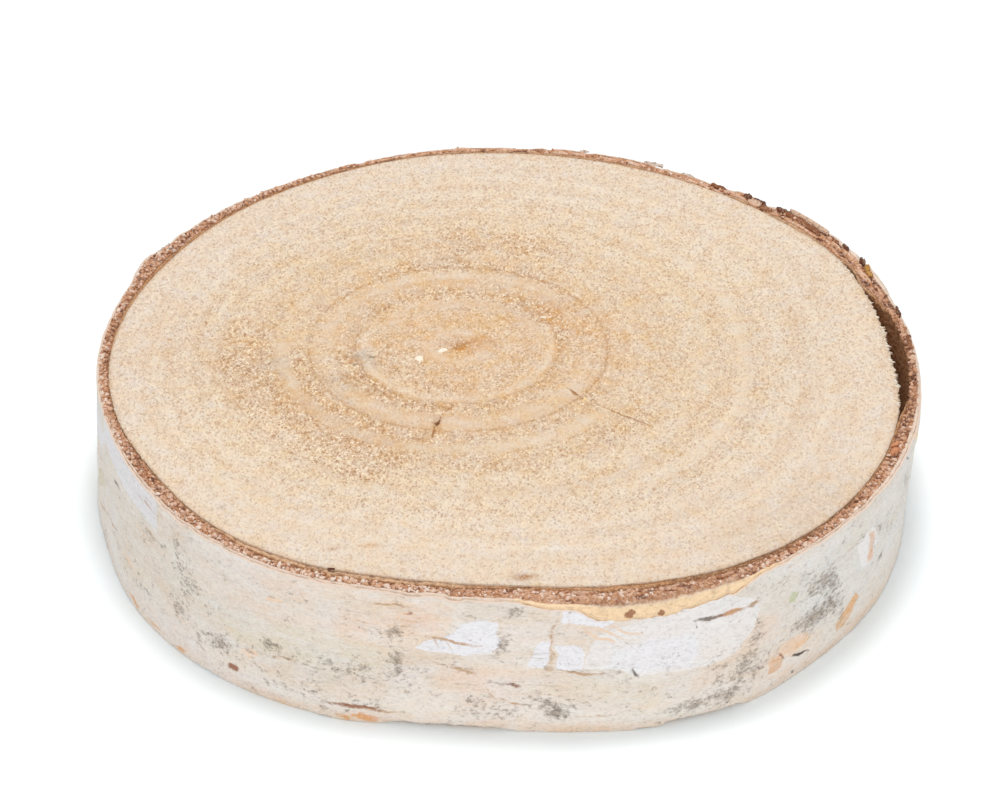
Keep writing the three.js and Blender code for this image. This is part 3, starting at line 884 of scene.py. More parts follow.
def layered(tree, streaks, fine):
    """The tone of the bast next to the wood, with painted shade in parts of it, and of the paper outside
    the cork.
    """
    layer = attribute(tree, "layer")
    uneven = sums(tree, "MULTIPLY_ADD", speckle(tree, 1.2 * MM), 0.4, sums(tree, "SUBTRACT", layer, 0.2))
    way_out = sums(tree, "DIVIDE", layer, LAYERS)
    uneven_way_out = sums(tree, "DIVIDE", uneven, LAYERS)
    tone = ramp(tree, uneven_way_out, BARK_TONES)
    innermost = ramp(tree, uneven_way_out, [(0.28, 0.75), (0.36, 0.0)])
    bast = attribute(tree, "bast")
    tone = mixed(tree, times(tree, innermost, bast, clamp=True), tone, BAST_LIGHT)
    # Painted shade: where the stored number is below zero, the bast is darkened towards its dark colour
    shaded = times(tree, innermost, times(tree, bast, -0.8), clamp=True)
    tone = mixed(tree, shaded, tone, BAST_DARK_AND_SHADE)
    outermost = ramp(tree, way_out, [(0.66, 0.0), (0.74, 1.0)])
    tone = mixed(tree, times(tree, outermost, attribute(tree, "cream")), tone, PAPER_CREAM)
    ragged = speckle(tree, 1.0 * MM, detail=4)
    torn_fleck = sums(tree, "MULTIPLY_ADD", ragged, 0.9, attribute(tree, "fleck"))
    flecks = ramp(tree, times(tree, torn_fleck, outermost), [(0.80, 0.0), (0.94, 0.85)])
    tone = mixed(tree, flecks, tone, FLECK_BROWN)
    inner = ramp(tree, way_out, [(0.6, 1.0), (0.72, 0.3)])
    dark_streaks = times(tree, ramp(tree, streaks, [(0.36, 0.6), (0.5, 0.0)]), inner)
    tone = mixed(tree, dark_streaks, tone, CORK_DARK_AND_SHADE)
    return flecked(tree, tone, fine, times(tree, inner, 0.45), BAST_LIGHT, BAST_DARK_AND_SHADE)


def corky(tree, number, distance, fine):
    """The tone of the cork: grains in many browns with painted shade in the dark cracks between them, or
    long strands where it tore.
    """
    cloud = sums(tree, "MULTIPLY_ADD", speckle(tree, 9 * MM), 0.9, -0.45)
    shift = sums(tree, "SUBTRACT", cloud, attribute(tree, "darker"))
    tone = ramp(tree, sums(tree, "ADD", number, shift), GRAIN_TONES)
    rusty = ramp(tree, speckle(tree, 11 * MM), [(0.48, 0.0), (0.62, 0.6)])
    tone = mixed(tree, rusty, tone, CORK_ORANGE)
    # Painted shade: each grain darkens towards its edge, as in the cracks between the grains
    cracks = ramp(tree, distance, [(0.34, 0.0), (0.66, 0.9)])
    tone = mixed(tree, cracks, tone, CORK_DARK_AND_SHADE)
    strand = sums(tree, "MULTIPLY_ADD", shift, 0.4, attribute(tree, "strand"))
    tone = mixed(tree, attribute(tree, "stringy"), tone, ramp(tree, strand, STRAND_TONES))
    return flecked(tree, tone, fine, 0.4, CORK_PALE, CORK_DARK_AND_SHADE)


def inner_bark_material():
    material, tree, shader = surface("inner_bark", roughness=0.9, specular=0.2)
    streaks = speckle(tree, 0.9 * MM, stretch=(0.4, 0.4, 1.0), detail=4)
    fine = grains(tree, FINE_GRAIN)[0]
    number, distance = grains(tree, CORK_GRAIN)
    layers = layered(tree, streaks, fine)
    tone = mixed(tree, attribute(tree, "cork"), layers, corky(tree, number, distance, fine))
    tree.links.new(tone, shader.inputs["Base Color"])
    bump(tree, shader, sums(tree, "SUBTRACT", streaks, distance), 0.5 * MM, 0.7)
    return material


inner_bark.data.materials.append(inner_bark_material())
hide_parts("bark")

# The crumbs
# Grains of cork that the saw broke out of the inner bark and left lying on its rim, brown, pinkish and
# pale, from half a millimetre to two and a half across.

CRUMBS = 2400
CRUMB_CORNERS = 12  # points of one crumb
CRUMB_RADIUS = (0.25, 1.0, 0.5)  # smallest, largest and commonest, in millimetres
CRUMB_SHAPE = (1.3, 1.0, 0.75, 1)  # longer than wide, and flatter
CRUMB_TONES = ((0.0, CORK_DARK_AND_SHADE), (0.25, CORK), (0.5, CORK_WARM), (0.8, CORK_PINK), (1.0, CORK_PALE))


def crumb_spots():
    """Places in the granular part of the rim, drawn at random."""
    drawn = np.random.default_rng(6).random(len(up))
    open_cork = np.flatnonzero((up > 0.999) & (cork > 0.6) & (drawn > 0.8 * stringy))
    return random.Random(7).sample(list(open_cork), CRUMBS)


def crumbs(at):
    bm = bmesh.new()
    dice = random.Random(8)
    for spot in at:
        size = dice.triangular(*CRUMB_RADIUS) * MM
        turned = dice.uniform(0, TURN)
        axle = Vector((dice.random(), dice.random(), dice.random() + 0.1))
        turn = Matrix.Rotation(turned, 4, axle)
        lay = Matrix.Translation(Vector(spot)) @ turn @ Matrix.Diagonal(CRUMB_SHAPE)
        bmesh.ops.create_icosphere(bm, subdivisions=1, radius=size, matrix=lay)
    return bm


def crumb_material():
    material, tree, shader = surface("crumbs", roughness=0.9, specular=0.2)
    tone = ramp(tree, attribute(tree, "pale"), CRUMB_TONES)
    tone = flecked(tree, tone, grains(tree, 0.4 * MM)[0], 0.3, CORK_PALE, CORK_DARK_AND_SHADE)
    tree.links.new(tone, shader.inputs["Base Color"])
    bump(tree, shader, speckle(tree, 0.5 * MM), 0.3 * MM, 0.7)
    return material


lying = crumb_spots()
crumb_mesh = finished("crumbs", crumbs(spots[lying]))
points = positions(crumb_mesh.data)
place(crumb_mesh.data, points + 0.12 * MM * noise_at(points, 0.4 * MM, seed=51)[:, None])
# They are palest at the front left and towards the outside, and darkest at the right.
paler = 0.14 * around(angle[lying], -128, -82, 8) - 0.15 * around(angle[lying], -14, 34, 8)
paler += 0.3 * across[lying] - 0.15
shares = np.random.default_rng(9).random(CRUMBS) * 0.9 + 0.10 + paler
give(crumb_mesh.data, "pale", np.repeat(np.clip(shares, 0, 1), CRUMB_CORNERS))
crumb_mesh.data.materials.append(crumb_material())
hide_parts("bark")

# The shreds
# Strips of inner bark and paper that tore loose along the back and the right of the rim and stand a little
# above it, tan to dark brown, and a few pale flaps of skin.

DARK_SHRED, BROWN_SHRED = shade(106, 64, 48), shade(150, 96, 66)
TAN_SHRED, PINK_SHRED = shade(216, 164, 124), shade(232, 198, 172)
OCHRE_SHRED, RED_SHRED = shade(200, 148, 74), shade(224, 150, 108)
WHITE_SHRED = shade(240, 228, 216)
CELLS_ALONG, CELLS_ACROSS = 14, 3  # rows of points along a strip and across it
SHRED_RAGGED = 0.3 * MM
# Angle, how far in from the bark's outside, height above the wood, length, width and thickness in
# millimetres, how steeply it stands in degrees, turn along the rim in degrees, and colour
SHREDS = (
    (50.2, 1.8, 0.4, 3.2, 1.8, 1.3, 50, 10, DARK_SHRED),
    (48.2, 1.6, 0.2, 6.0, 1.0, 0.5, 60, -3, DARK_SHRED),
    (48.6, 3.0, 0.0, 5.0, 2.4, 0.7, 20, 6, PINK_SHRED),
    (46.2, 3.6, -0.2, 5.0, 2.2, 0.8, 15, -4, BROWN_SHRED),
    (43.2, 2.0, 0.5, 7.5, 1.5, 0.6, 45, 5, DARK_SHRED),
    (38.6, 1.4, 0.9, 19.0, 2.8, 0.6, 60, 2, PINK_SHRED),
    (39.4, 2.9, 0.6, 17.0, 1.6, 0.6, 35, -1, BROWN_SHRED),
    (35.6, 2.2, 0.4, 7.5, 1.2, 0.6, 35, -4, DARK_SHRED),
    (40.5, 4.2, -0.1, 9.0, 1.6, 0.6, 10, 3, TAN_SHRED),
    (33.2, 2.6, 0.1, 6.0, 1.5, 0.5, 30, 8, BROWN_SHRED),
    (30.6, 1.8, 0.0, 4.0, 1.4, 0.5, 50, -8, DARK_SHRED),
    (26.0, 2.0, 0.6, 3.0, 1.6, 0.9, 60, 14, DARK_SHRED),
    (24.2, 2.4, 0.3, 3.4, 2.0, 0.8, 40, -12, OCHRE_SHRED),
    (23.0, 3.0, 0.0, 3.0, 1.4, 0.6, 25, 20, OCHRE_SHRED),
    (55.5, 1.6, 0.1, 6.0, 1.0, 0.4, 60, 4, BROWN_SHRED),
    (61.0, 1.0, 0.2, 5.0, 0.9, 0.3, 70, 2, WHITE_SHRED),
    (67.0, 0.6, 0.7, 7.0, 1.4, 0.3, 75, 3, WHITE_SHRED),
    (72.0, 1.4, 0.2, 4.0, 0.8, 0.4, 60, -4, BROWN_SHRED),
    (78.0, 0.8, 0.6, 3.0, 0.6, 0.25, 80, 8, WHITE_SHRED),
    (124.0, 2.6, 0.2, 5.0, 1.2, 0.5, 40, 5, BROWN_SHRED),
    (150.0, 1.4, 0.0, 8.0, 0.8, 0.3, 60, 1, WHITE_SHRED),
    (152.0, 2.2, 0.3, 5.0, 1.2, 0.5, 50, -6, DARK_SHRED),
    (-23.6, 3.6, 0.7, 3.4, 2.6, 0.9, 20, 10, RED_SHRED),
    (-22.0, 4.4, 0.7, 3.0, 2.2, 0.9, 25, -20, RED_SHRED),
    (4.0, 2.2, 0.2, 7.0, 1.2, 0.5, 55, 3, BROWN_SHRED),
    (12.0, 2.2, 0.3, 6.0, 1.2, 0.5, 50, -3, DARK_SHRED),
    (-114.6, 6.5, 0.1, 2.0, 1.2, 0.6, 30, 30, DARK_SHRED),
)


def shreds():
    """The strips, each a small grid bent round the rim, roughened and thickened, and their colours."""
    bm = bmesh.new()
    colours = []
    for number, (turn, inward, lift, length, width, thickness, steep, slant, colour) in enumerate(SHREDS):
        before = len(bm.verts)
        grid = bmesh.ops.create_grid(bm, x_segments=CELLS_ALONG, y_segments=CELLS_ACROSS, size=0.5)
        strip = grid["verts"]
        middle_angle = math.radians(turn)
        reach = reach_at(bark_reach[BARK_HEIGHTS[-1]], np.array([middle_angle]))[0] - inward * MM
        steep, slant = math.radians(steep), math.radians(slant)
        for vert in strip:
            ragged = noise.noise(Vector((vert.co.x * 7, vert.co.y * 3, number * 9.7)))
            taper = 1 - abs(vert.co.x * 2) ** 4 * 0.5
            along = vert.co.x * length * MM
            side = vert.co.y * width * MM * taper + SHRED_RAGGED * ragged
            rise = side * math.sin(steep) + along * math.tan(slant) * 0.2 + 0.25 * MM * ragged
            out = reach + side * math.cos(steep) - along * math.sin(slant) * 0.5
            bent = middle_angle + along / reach
            vert.co = (out * math.cos(bent), out * math.sin(bent), THICKNESS + lift * MM + rise)
        faces = list({face for vert in strip for face in vert.link_faces})
        bmesh.ops.solidify(bm, geom=faces, thickness=thickness * MM)
        colours += [(*colour, 1)] * (len(bm.verts) - before)
    bmesh.ops.recalc_face_normals(bm, faces=bm.faces)
    return bm, np.array(colours)


def shred_material():
    material, tree, shader = surface("shreds", roughness=0.85, specular=0.25)
    fibres = speckle(tree, 1.0 * MM, detail=4, roughness=0.7)
    tone, _ = stored(tree, "colour")
    tone = flecked(tree, tone, grains(tree, FINE_GRAIN)[0], 0.3, PAPER_CREAM, CORK_DARK_AND_SHADE)
    tone = mixed(tree, ramp(tree, fibres, [(0.36, 0.6), (0.5, 0.0)]), tone, CORK_DARK_AND_SHADE)
    tree.links.new(tone, shader.inputs["Base Color"])
    bump(tree, shader, fibres, 0.5 * MM, 0.7)
    return material


shred_mesh, shred_colours = shreds()
shred = finished("shreds", shred_mesh)
place(shred.data, positions(shred.data))
give(shred.data, "colour", shred_colours)
shred.data.materials.append(shred_material())
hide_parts("bark")

# The white skin
# Birch's outer bark: many sheets as thin as paper, chalk white where a sheet is whole and pale tan or grey
# where older ones show, crossed by level lenticels. It ends in a ragged edge at both sawn faces.

SKIN_COLUMNS = 1180
SKIN_ROWS = 72
skin_section = (
    [(0, up) for up in (0, 0.5, 0.8, 0.9, 0.96)]
    + [(0.15, 1), (0.85, 1)]
    + [(1, row / SKIN_ROWS) for row in range(SKIN_ROWS - 1, -1, -1)]
)
white_bark = finished("white_bark", bent_ring(skin_section, SKIN_COLUMNS, crowd=0.35))
angle, across, up = ring_places(white_bark.data)
where = at_radius(angle, BARK_RADIUS, 0)
ragged = noise_at(where, 5 * MM, seed=31, octaves=3)
frayed = noise_at(where, 1.4 * MM, seed=35)
edge = rim_height(angle) - 0.5 * MM - torn_skin(angle) * (1 + 0.12 * ragged)
edge += 0.25 * MM * ragged + 0.12 * MM * frayed
foot = 0.7 * MM * noise_at(where, 12 * MM, seed=32, octaves=3) + 0.45 * MM * frayed
foot = np.maximum(foot, 0) + notch(angle)
height = foot + up * (edge - foot)

# The bark's colours and marks. A patch has an outline, by angle in degrees and height in millimetres, how
# soft its edge is in millimetres, a colour and a strength. An oval has its middle, half length and half
# width in millimetres, tilt in degrees, colour and strength. Each list lies over the one before it.
CHALK = shade(243, 241, 246)
MILK = shade(242, 236, 233)
BLUISH = shade(234, 230, 233)
ROSE = shade(242, 226, 214)
GREIGE = shade(229, 214, 197)
GREENISH = shade(231, 221, 204)
GREY_WHITE = shade(226, 223, 218)
PEACH = shade(243, 211, 182)
CREAM_PAPER = shade(247, 221, 188)
TAN_STREAK = shade(202, 166, 134)
ORANGE = shade(232, 182, 138)
CINNAMON = shade(160, 108, 80)
SOOT = shade(122, 112, 102)
MOSS = shade(198, 200, 168)
FOOT_PAINTED_LIGHT = shade(249, 239, 230)
DRAB = shade(220, 210, 190)
BURNT = shade(84, 66, 52)
# Soft zones and tints
SKIN_ZONES = (
    (((-134, 30), (-109, 31), (-108, 49), (-134, 50)), 3, ROSE, 0.7),
    (((-132, 17), (-105, 16), (-104, 29), (-113, 31), (-124, 29), (-133, 27)), 2, GREENISH, 0.7),
    (((-131, 5), (-106, 6), (-105, 16), (-131, 17)), 2, GREIGE, 0.7),
    (((-113, 28), (-103, 27), (-98, 33), (-97, 45), (-104, 47), (-113, 40)), 2, PEACH, 0.5),
    (((-100, 15), (-88, 14), (-86, 24), (-99, 24)), 2, PEACH, 0.4),
    (((-82, 6), (-70, 8.6), (-61, 9), (-61, 20), (-70, 19), (-80, 24)), 1.5, GREIGE, 0.4),
    (
        ((-66, 12), (-58, 10), (-47, 16), (-46, 24), (-54, 29), (-57, 36), (-62, 36), (-64, 26)),
        2, PEACH, 0.6,
    ),
    (
        ((-57, 4), (-51, 2), (-44, 3), (-44, 12), (-47, 16.4), (-53, 16.5), (-57, 12)),
        1.5, PEACH, 0.9,
    ),
)
SKIN_TINTS = (
    ((-165, 25), (60, 40), 0, GREY_WHITE, 0.6),
    ((-140, 18), (50, 26), 0, GREIGE, 0.6),
    ((-134, 4), (26, 6), 0, BLUISH, 0.6),
    ((-88, 30), (10, 22), 0, ROSE, 0.6),
    ((-96, 12), (26, 8), 0, ROSE, 0.5),
    ((-38, 28), (60, 26), 0, GREY_WHITE, 0.8),
    ((-12, 25), (50, 40), 0, GREY_WHITE, 0.7),
    # Painted light: the foot of the bark lighter, as if lit by the floor below
    ((-90, 5), (160, 6), 0, FOOT_PAINTED_LIGHT, 0.6),
    ((-90, 1), (160, 2.4), 0, PEACH, 0.6),
    ((-32, 2), (20, 4), 0, PEACH, 0.5),
    ((-56, 22), (8, 7), 0, PEACH, 0.4),
    ((-152, 14), (8, 1.5), 0, PEACH, 0.5),
    ((-77, 37), (9, 4), -20, PEACH, 0.5),
    ((-62.6, 25), (4.5, 4.0), 20, PEACH, 0.7),
    ((-87.2, 4), (2.6, 2.6), 0, CREAM_PAPER, 0.6),
)
# Sheets and flakes with torn edges
SKIN_SHEETS = (
    (
        ((-166, 41), (-158, 38.6), (-150, 38), (-144.6, 37.6), (-144.3, 48), (-158, 48.4), (-166, 49)),
        1, BLUISH, 1.0,
    ),
    (((-188, 20), (-168, 34), (-164, 40), (-172, 42), (-190, 34)), 2, BLUISH, 0.8),
    (((-184, 2), (-179, 3), (-167, 20), (-163, 27), (-167, 26), (-176, 14)), 0.8, DRAB, 0.9),
    (
        ((-102.6, 29.2), (-99, 28.6), (-95.5, 28.2), (-91.8, 29), (-90.6, 32.5), (-91.4, 36.5),
         (-90.8, 39.5), (-93, 41.5), (-95.6, 39.6), (-96.6, 35.6), (-98.6, 33.6), (-101, 31.8)),
        0.5, CHALK, 1.0,
    ),
    (((-87, 25), (-84.9, 24.6), (-84.2, 28), (-84.1, 34), (-85.3, 34.5), (-86.4, 31)), 0.5, CHALK, 0.9),
    (((-83.6, 24.5), (-80.4, 24.2), (-80, 30), (-80.8, 33.6), (-83.4, 33)), 0.5, CHALK, 0.9),
    (
        ((-82.8, 41.5), (-77.6, 40.2), (-76.2, 42), (-78.2, 45.6), (-79.6, 48.2), (-82.4, 48.4)),
        0.6, CHALK, 0.9,
    ),
    (
        ((-80.2, 24.8), (-76, 24.2), (-73.4, 20.6), (-68, 19.6), (-61.5, 19.8), (-59.4, 22.5),
         (-57.4, 28.6), (-56.2, 35), (-57.5, 40.5), (-62, 45), (-68, 44), (-73, 40.8), (-76.5, 39.4),
         (-79.3, 33.5)),
        0.6, MILK, 1.0,
    ),
    (
        ((-77, 25), (-72.5, 21.6), (-66, 21), (-64.6, 27), (-66, 33), (-71, 34), (-75.5, 31)),
        1.5, CHALK, 0.8,
    ),
    (((-127, 13.4), (-124.6, 13.6), (-123.2, 16.4), (-124.4, 17.6), (-126.4, 16)), 0.6, PEACH, 0.95),
    (((-112.6, 2.4), (-109, 3.8), (-106.6, 2.8), (-107.2, 0.4), (-111, 0.2)), 1.0, ORANGE, 0.55),
    (((-104.8, 40.6), (-103.4, 40.4), (-100.4, 44.2), (-100.8, 45.2), (-103, 43.6)), 0.9, ORANGE, 0.45),
    (((-54.4, 10), (-50, 9), (-46.4, 12), (-47.4, 16.6), (-52, 16), (-54.4, 13)), 1.2, PEACH, 0.6),
    (((-54.2, 6.8), (-52.4, 6.2), (-51.2, 9), (-52.2, 11.6), (-54.2, 12.4)), 0.9, ORANGE, 0.65),
    (
        ((-40.8, 6.6), (-38.6, 5.2), (-37, 9), (-35.8, 13), (-36.4, 16), (-39, 14), (-41, 10.5)),
        0.9, ORANGE, 0.65,
    ),
    (((-37.6, 36), (-35.6, 24), (-32.4, 22), (-31.6, 30), (-33.4, 37)), 0.8, MILK, 0.8),
    (((-34.8, 36), (-34, 30), (-34.2, 24.5), (-32.8, 23), (-32.6, 29), (-33.4, 35)), 0.5, ORANGE, 0.7),
    (((-20.5, 50.5), (-18.3, 50.5), (-7.4, 30.4), (-9.2, 30.4), (-14, 39)), 0.5, CREAM_PAPER, 0.9),
    (((-51, 31.4), (-49.8, 31), (-49.3, 34), (-50.6, 35)), 0.6, MOSS, 0.7),
    (((-122.4, 36.8), (-119.8, 37.2), (-120, 38.8), (-122, 38.4)), 0.5, PEACH, 0.9),
)
# Thin marks
SKIN_LINES = (
    ((-77.5, 36), (6, 0.6), -32, PEACH, 0.8),
    ((-76.3, 37.4), (7, 0.5), -30, PEACH, 0.8),
    ((-74.5, 38), (7, 0.5), -27, PEACH, 0.7),
    ((-108, 36), (9, 0.6), -8, TAN_STREAK, 0.45),
    ((-106, 33), (8, 0.6), 10, TAN_STREAK, 0.45),
    ((-103, 37), (7, 0.5), 14, TAN_STREAK, 0.4),
    ((-101.5, 39.5), (8, 0.6), 12, TAN_STREAK, 0.4),
    ((-172, 25), (20, 0.5), 23, TAN_STREAK, 0.6),
    ((-169, 9), (15, 0.6), 23, TAN_STREAK, 0.7),
    ((-158.5, 33.2), (3.2, 0.8), 12, SOOT, 0.7),
    ((-147, 43), (8, 0.4), -1, TAN_STREAK, 0.75),
    ((-154, 37.4), (8, 0.4), 4, SOOT, 0.3),
    ((-146, 34), (5, 0.8), 3, TAN_STREAK, 0.6),
    ((-142.5, 33.5), (3, 0.8), 0, SOOT, 0.5),
    ((-160, 15.6), (9, 0.5), 8, TAN_STREAK, 0.75),
    ((-147, 11), (4.5, 0.4), 6, SOOT, 0.6),
    ((-150, 2.4), (4, 0.8), -8, ORANGE, 0.8),
    ((-144, 2), (5, 0.6), 4, ORANGE, 0.7),
    ((-138, 1.2), (3, 0.8), 0, ORANGE, 0.9),
    ((-128, 7), (2.0, 1.2), 40, CINNAMON, 0.95),
    ((-122, 22.4), (5, 0.5), -25, SOOT, 0.6),
    ((-114, 17.3), (22, 0.4), 0, SOOT, 0.45),
    ((-120, 17.6), (6, 0.5), 4, TAN_STREAK, 0.6),
    ((-108, 16), (7, 0.4), -4, SOOT, 0.5),
    ((-110, 5.2), (9, 0.6), 2, CINNAMON, 0.9),
    ((-106, 4.4), (7, 0.5), -3, TAN_STREAK, 0.6),
    ((-112, 29), (6, 0.4), 2, TAN_STREAK, 0.4),
    ((-105.5, 43.6), (9, 0.45), 5, TAN_STREAK, 0.8),
    ((-103, 41.5), (1.5, 0.8), 40, CINNAMON, 0.6),
    ((-97, 32.8), (9, 0.5), -7, TAN_STREAK, 1.0),
    ((-99, 31.5), (2.5, 0.5), -60, TAN_STREAK, 0.6),
    ((-97.5, 31), (2.5, 0.5), -60, TAN_STREAK, 0.5),
    ((-98, 24), (12, 0.4), -6, SOOT, 0.4),
    ((-95.5, 22.4), (5, 0.6), -8, TAN_STREAK, 0.9),
    ((-83.9, 33), (0.8, 15), -6, TAN_STREAK, 0.55),
    ((-81.6, 42), (0.7, 8), -4, TAN_STREAK, 0.35),
    ((-85.5, 22), (0.4, 14), 3, TAN_STREAK, 0.35),
    ((-80, 23), (9, 0.5), -6, TAN_STREAK, 0.85),
    ((-81, 24.3), (5, 0.4), 0, SOOT, 0.4),
    ((-73.6, 22), (0.5, 2.6), 20, SOOT, 0.7),
    ((-89, 17.5), (2.0, 1.1), 0, CINNAMON, 0.6),
    ((-90.5, 18), (5, 0.7), 0, SOOT, 0.45),
    ((-89.5, 11.4), (6, 0.5), -14, TAN_STREAK, 0.7),
    ((-92, 14), (0.5, 3), 30, TAN_STREAK, 0.5),
    ((-78, 6), (12, 0.5), 2, TAN_STREAK, 0.5),
    ((-63.6, 38), (4.2, 0.8), -3, SOOT, 0.85),
    ((-60.2, 37.6), (2.2, 1.1), 0, ORANGE, 1.0),
    ((-60.4, 37.6), (5.5, 0.8), 0, CINNAMON, 0.5),
    ((-57.2, 37.8), (2.6, 0.9), 0, TAN_STREAK, 0.7),
    ((-65.3, 36), (0.4, 1.6), 20, SOOT, 0.7),
    ((-56.8, 31), (0.6, 6), 12, SOOT, 0.4),
    ((-54.8, 43), (0.8, 3.4), 10, SOOT, 0.45),
    ((-51.6, 11), (0.6, 2.4), 30, CINNAMON, 0.7),
    ((-48.3, 8), (4.6, 0.55), -14, BURNT, 1.0),
    ((-49.5, 2.2), (1, 0.7), 0, SOOT, 0.8),
    ((-32.9, 29), (0.6, 5), -8, CINNAMON, 0.6),
    ((-41, 42), (0.7, 3.2), -25, SOOT, 0.5),
    ((-39, 36), (5, 0.5), 4, TAN_STREAK, 0.6),
    ((-22, 46), (3.4, 0.6), -36, SOOT, 0.7),
    ((-20, 34), (6, 0.5), -40, SOOT, 0.35),
)
# Granular dirt, with its strength in place of a colour's
DIRT = (
    ((-44.2, 30.5), (8, 4.0), 0, 0.62),
    ((-46, 19.5), (10, 4.5), -8, 0.62),
    ((-43, 25), (5, 9), 10, 0.40),
    ((-50, 38), (12, 6), 0, 0.15),
    ((-58, 17), (8, 9), -20, 0.36),
    ((-60, 12), (9, 5), 0, 0.26),
    ((-64.5, 6), (13, 2.4), 3, 0.60),
    ((-73, 16), (14, 5), 0, 0.06),
    ((-83.6, 8), (4.0, 3.0), 0, 0.80),
    ((-84, 12), (9, 3), 0, 0.32),
    ((-93, 8), (12, 6), 0, 0.30),
    ((-90.6, 32), (1.6, 4), 0, 0.75),
    ((-88.2, 45), (3.6, 2.2), 30, 0.45),
    ((-90.5, 40), (1.8, 10), 0, 0.25),
    ((-104.6, 25), (3.0, 8), 0, 0.55),
    ((-105, 34), (7, 2.4), 0, 0.38),
    ((-112, 19), (24, 3.4), 0, 0.34),
    ((-122, 21), (5, 2), -20, 0.45),
    ((-131, 13.5), (8, 3.2), 10, 0.50),
    ((-137, 28), (7, 4), 0, 0.50),
    ((-139, 38), (3, 6), 0, 0.42),
    ((-138, 17), (5, 5), 0, 0.42),
    ((-147, 33), (12, 3), 0, 0.25),
    ((-150, 10), (12, 4), 0, 0.20),
    ((-118, 8), (30, 5), 0, 0.22),
    ((-166, 3), (8, 3), 20, 0.35),
    ((-74.5, 22.6), (3.5, 2.4), 0, 0.35),
    ((-56.5, 25), (3, 4), 0, 0.35),
    ((-30.8, 33), (2.6, 2.4), 0, 0.65),
    ((-29.3, 20), (2.4, 1.8), 0, 0.75),
    ((-37, 37), (8, 2), 0, 0.30),
    ((-40, 8), (6, 6), 0, 0.25),
    ((-26, 27), (14, 12), 0, 0.18),
    ((-20, 34), (8, 3), -36, 0.40),
    ((-12, 15), (16, 10), -30, 0.20),
)
BACK = (-2, 184)  # degrees, the side that faces away
BACK_HEIGHT = (2, 47)  # millimetres
BACK_SHEETS, BACK_LINES, BACK_DIRT = 34, 60, 26
SCRAP_CORNERS = 8


def scrap(dice, middle, half_width, half_height):
    """An uneven outline round a middle."""
    corners = []
    for step in range(SCRAP_CORNERS):
        turn = step / SCRAP_CORNERS * TURN
        reach = dice.uniform(0.7, 1.3)
        across = middle[0] + reach * half_width * math.cos(turn)
        corners.append((across, middle[1] + reach * half_height * math.sin(turn)))
    return tuple(corners)


def back_marks():
    """Marks of the same kinds, drawn at random, on the side that faces away."""
    dice = random.Random(12)
    sheets = []
    lines = []
    dirt = []
    for _ in range(BACK_SHEETS):
        at = (dice.uniform(*BACK), dice.uniform(*BACK_HEIGHT))
        colour = dice.choice((CHALK, MILK, MILK, ROSE, PEACH, GREIGE))
        sheets.append((scrap(dice, at, dice.uniform(2, 9), dice.uniform(2, 8)), 0.7, colour, 0.9))
    for _ in range(BACK_LINES):
        at = (dice.uniform(*BACK), dice.uniform(*BACK_HEIGHT))
        colour = dice.choice((TAN_STREAK, TAN_STREAK, SOOT, ORANGE, CINNAMON))
        lines.append((at, (dice.uniform(2, 11), dice.uniform(0.4, 1.0)), dice.uniform(-8, 8), colour, 0.8))
    for _ in range(BACK_DIRT):
        at = (dice.uniform(*BACK), dice.uniform(*BACK_HEIGHT))
        size = (dice.uniform(3, 14), dice.uniform(1.5, 6))
        dirt.append((at, size, dice.uniform(-15, 15), dice.uniform(0.2, 0.75)))
    return sheets, lines, dirt


def ovals_on_bark(ovals):
    return [(along_bark(middle), *rest) for middle, *rest in ovals]


def patches_on_bark(patches):
    return [(tuple(along_bark(corner) for corner in outline), *rest) for outline, *rest in patches]


back_sheets, back_lines, back_dirt = back_marks()
spots = at_radius(angle, BARK_RADIUS, height)
run = angle * BARK_RADIUS / MM + 1.8 * noise_at(spots, 9 * MM, seed=41, octaves=3)
rise = height / MM + 0.8 * noise_at(spots, 9 * MM, seed=42, octaves=3)
girth = TURN * BARK_RADIUS / MM
tints = painted(run, rise, ovals_on_bark(SKIN_TINTS), patches_on_bark(SKIN_ZONES), girth)
sheets = painted(run, rise, (), patches_on_bark((*SKIN_SHEETS, *back_sheets)), girth)
lines = painted(run, rise, ovals_on_bark((*SKIN_LINES, *back_lines)), lap=girth)
dirt = strength_on_bark(run, rise, (*DIRT, *back_dirt), girth)

# A sheet stands a little proud of what is round it, and a mark lies a little below.
level = spots * [0.35, 0.35, 1.0]
relief = 0.16 * MM * noise_at(level, 4 * MM, seed=33, octaves=3)
relief += 0.07 * MM * noise_at(spots, 1.8 * MM, seed=34)
relief += 0.10 * MM * sheets[:, 3] - 0.12 * MM * lines[:, 3]
outside = reach_between(bark_reach, angle, height) + relief - 0.1 * MM
place(white_bark.data, at_radius(angle, outside - SKIN * (1 - across), height))
give(white_bark.data, "tint", tints)
give(white_bark.data, "sheet", sheets)
give(white_bark.data, "line", lines)
give(white_bark.data, "dirt", dirt)
bare = smooth(height - (edge - 0.3 * MM), 0, 0.3 * MM) * (1 - around(angle, -77, -62, 3))
give(white_bark.data, "bare", bare)

# The bare paper from tan to pale, its speckles, hairs and wear, and the dirt
PAPER_TAN, PAPER_BARE, PAPER_PALE = shade(231, 215, 198), shade(237, 223, 209), shade(242, 231, 222)
PAPER_WORN, PAPER_HAIR = shade(236, 212, 190), shade(178, 154, 132)
MOTTLE_PALE, MOTTLE_DARK = shade(252, 246, 240), shade(192, 181, 170)
SPECK_PALE, SPECK_DARK = shade(255, 249, 243), shade(172, 161, 150)
DIRT_DARK, DIRT_PALE = shade(114, 98, 86), shade(186, 168, 152)
LEVEL = (0.6, 0.6, 1.0)  # stretches a mark round the trunk


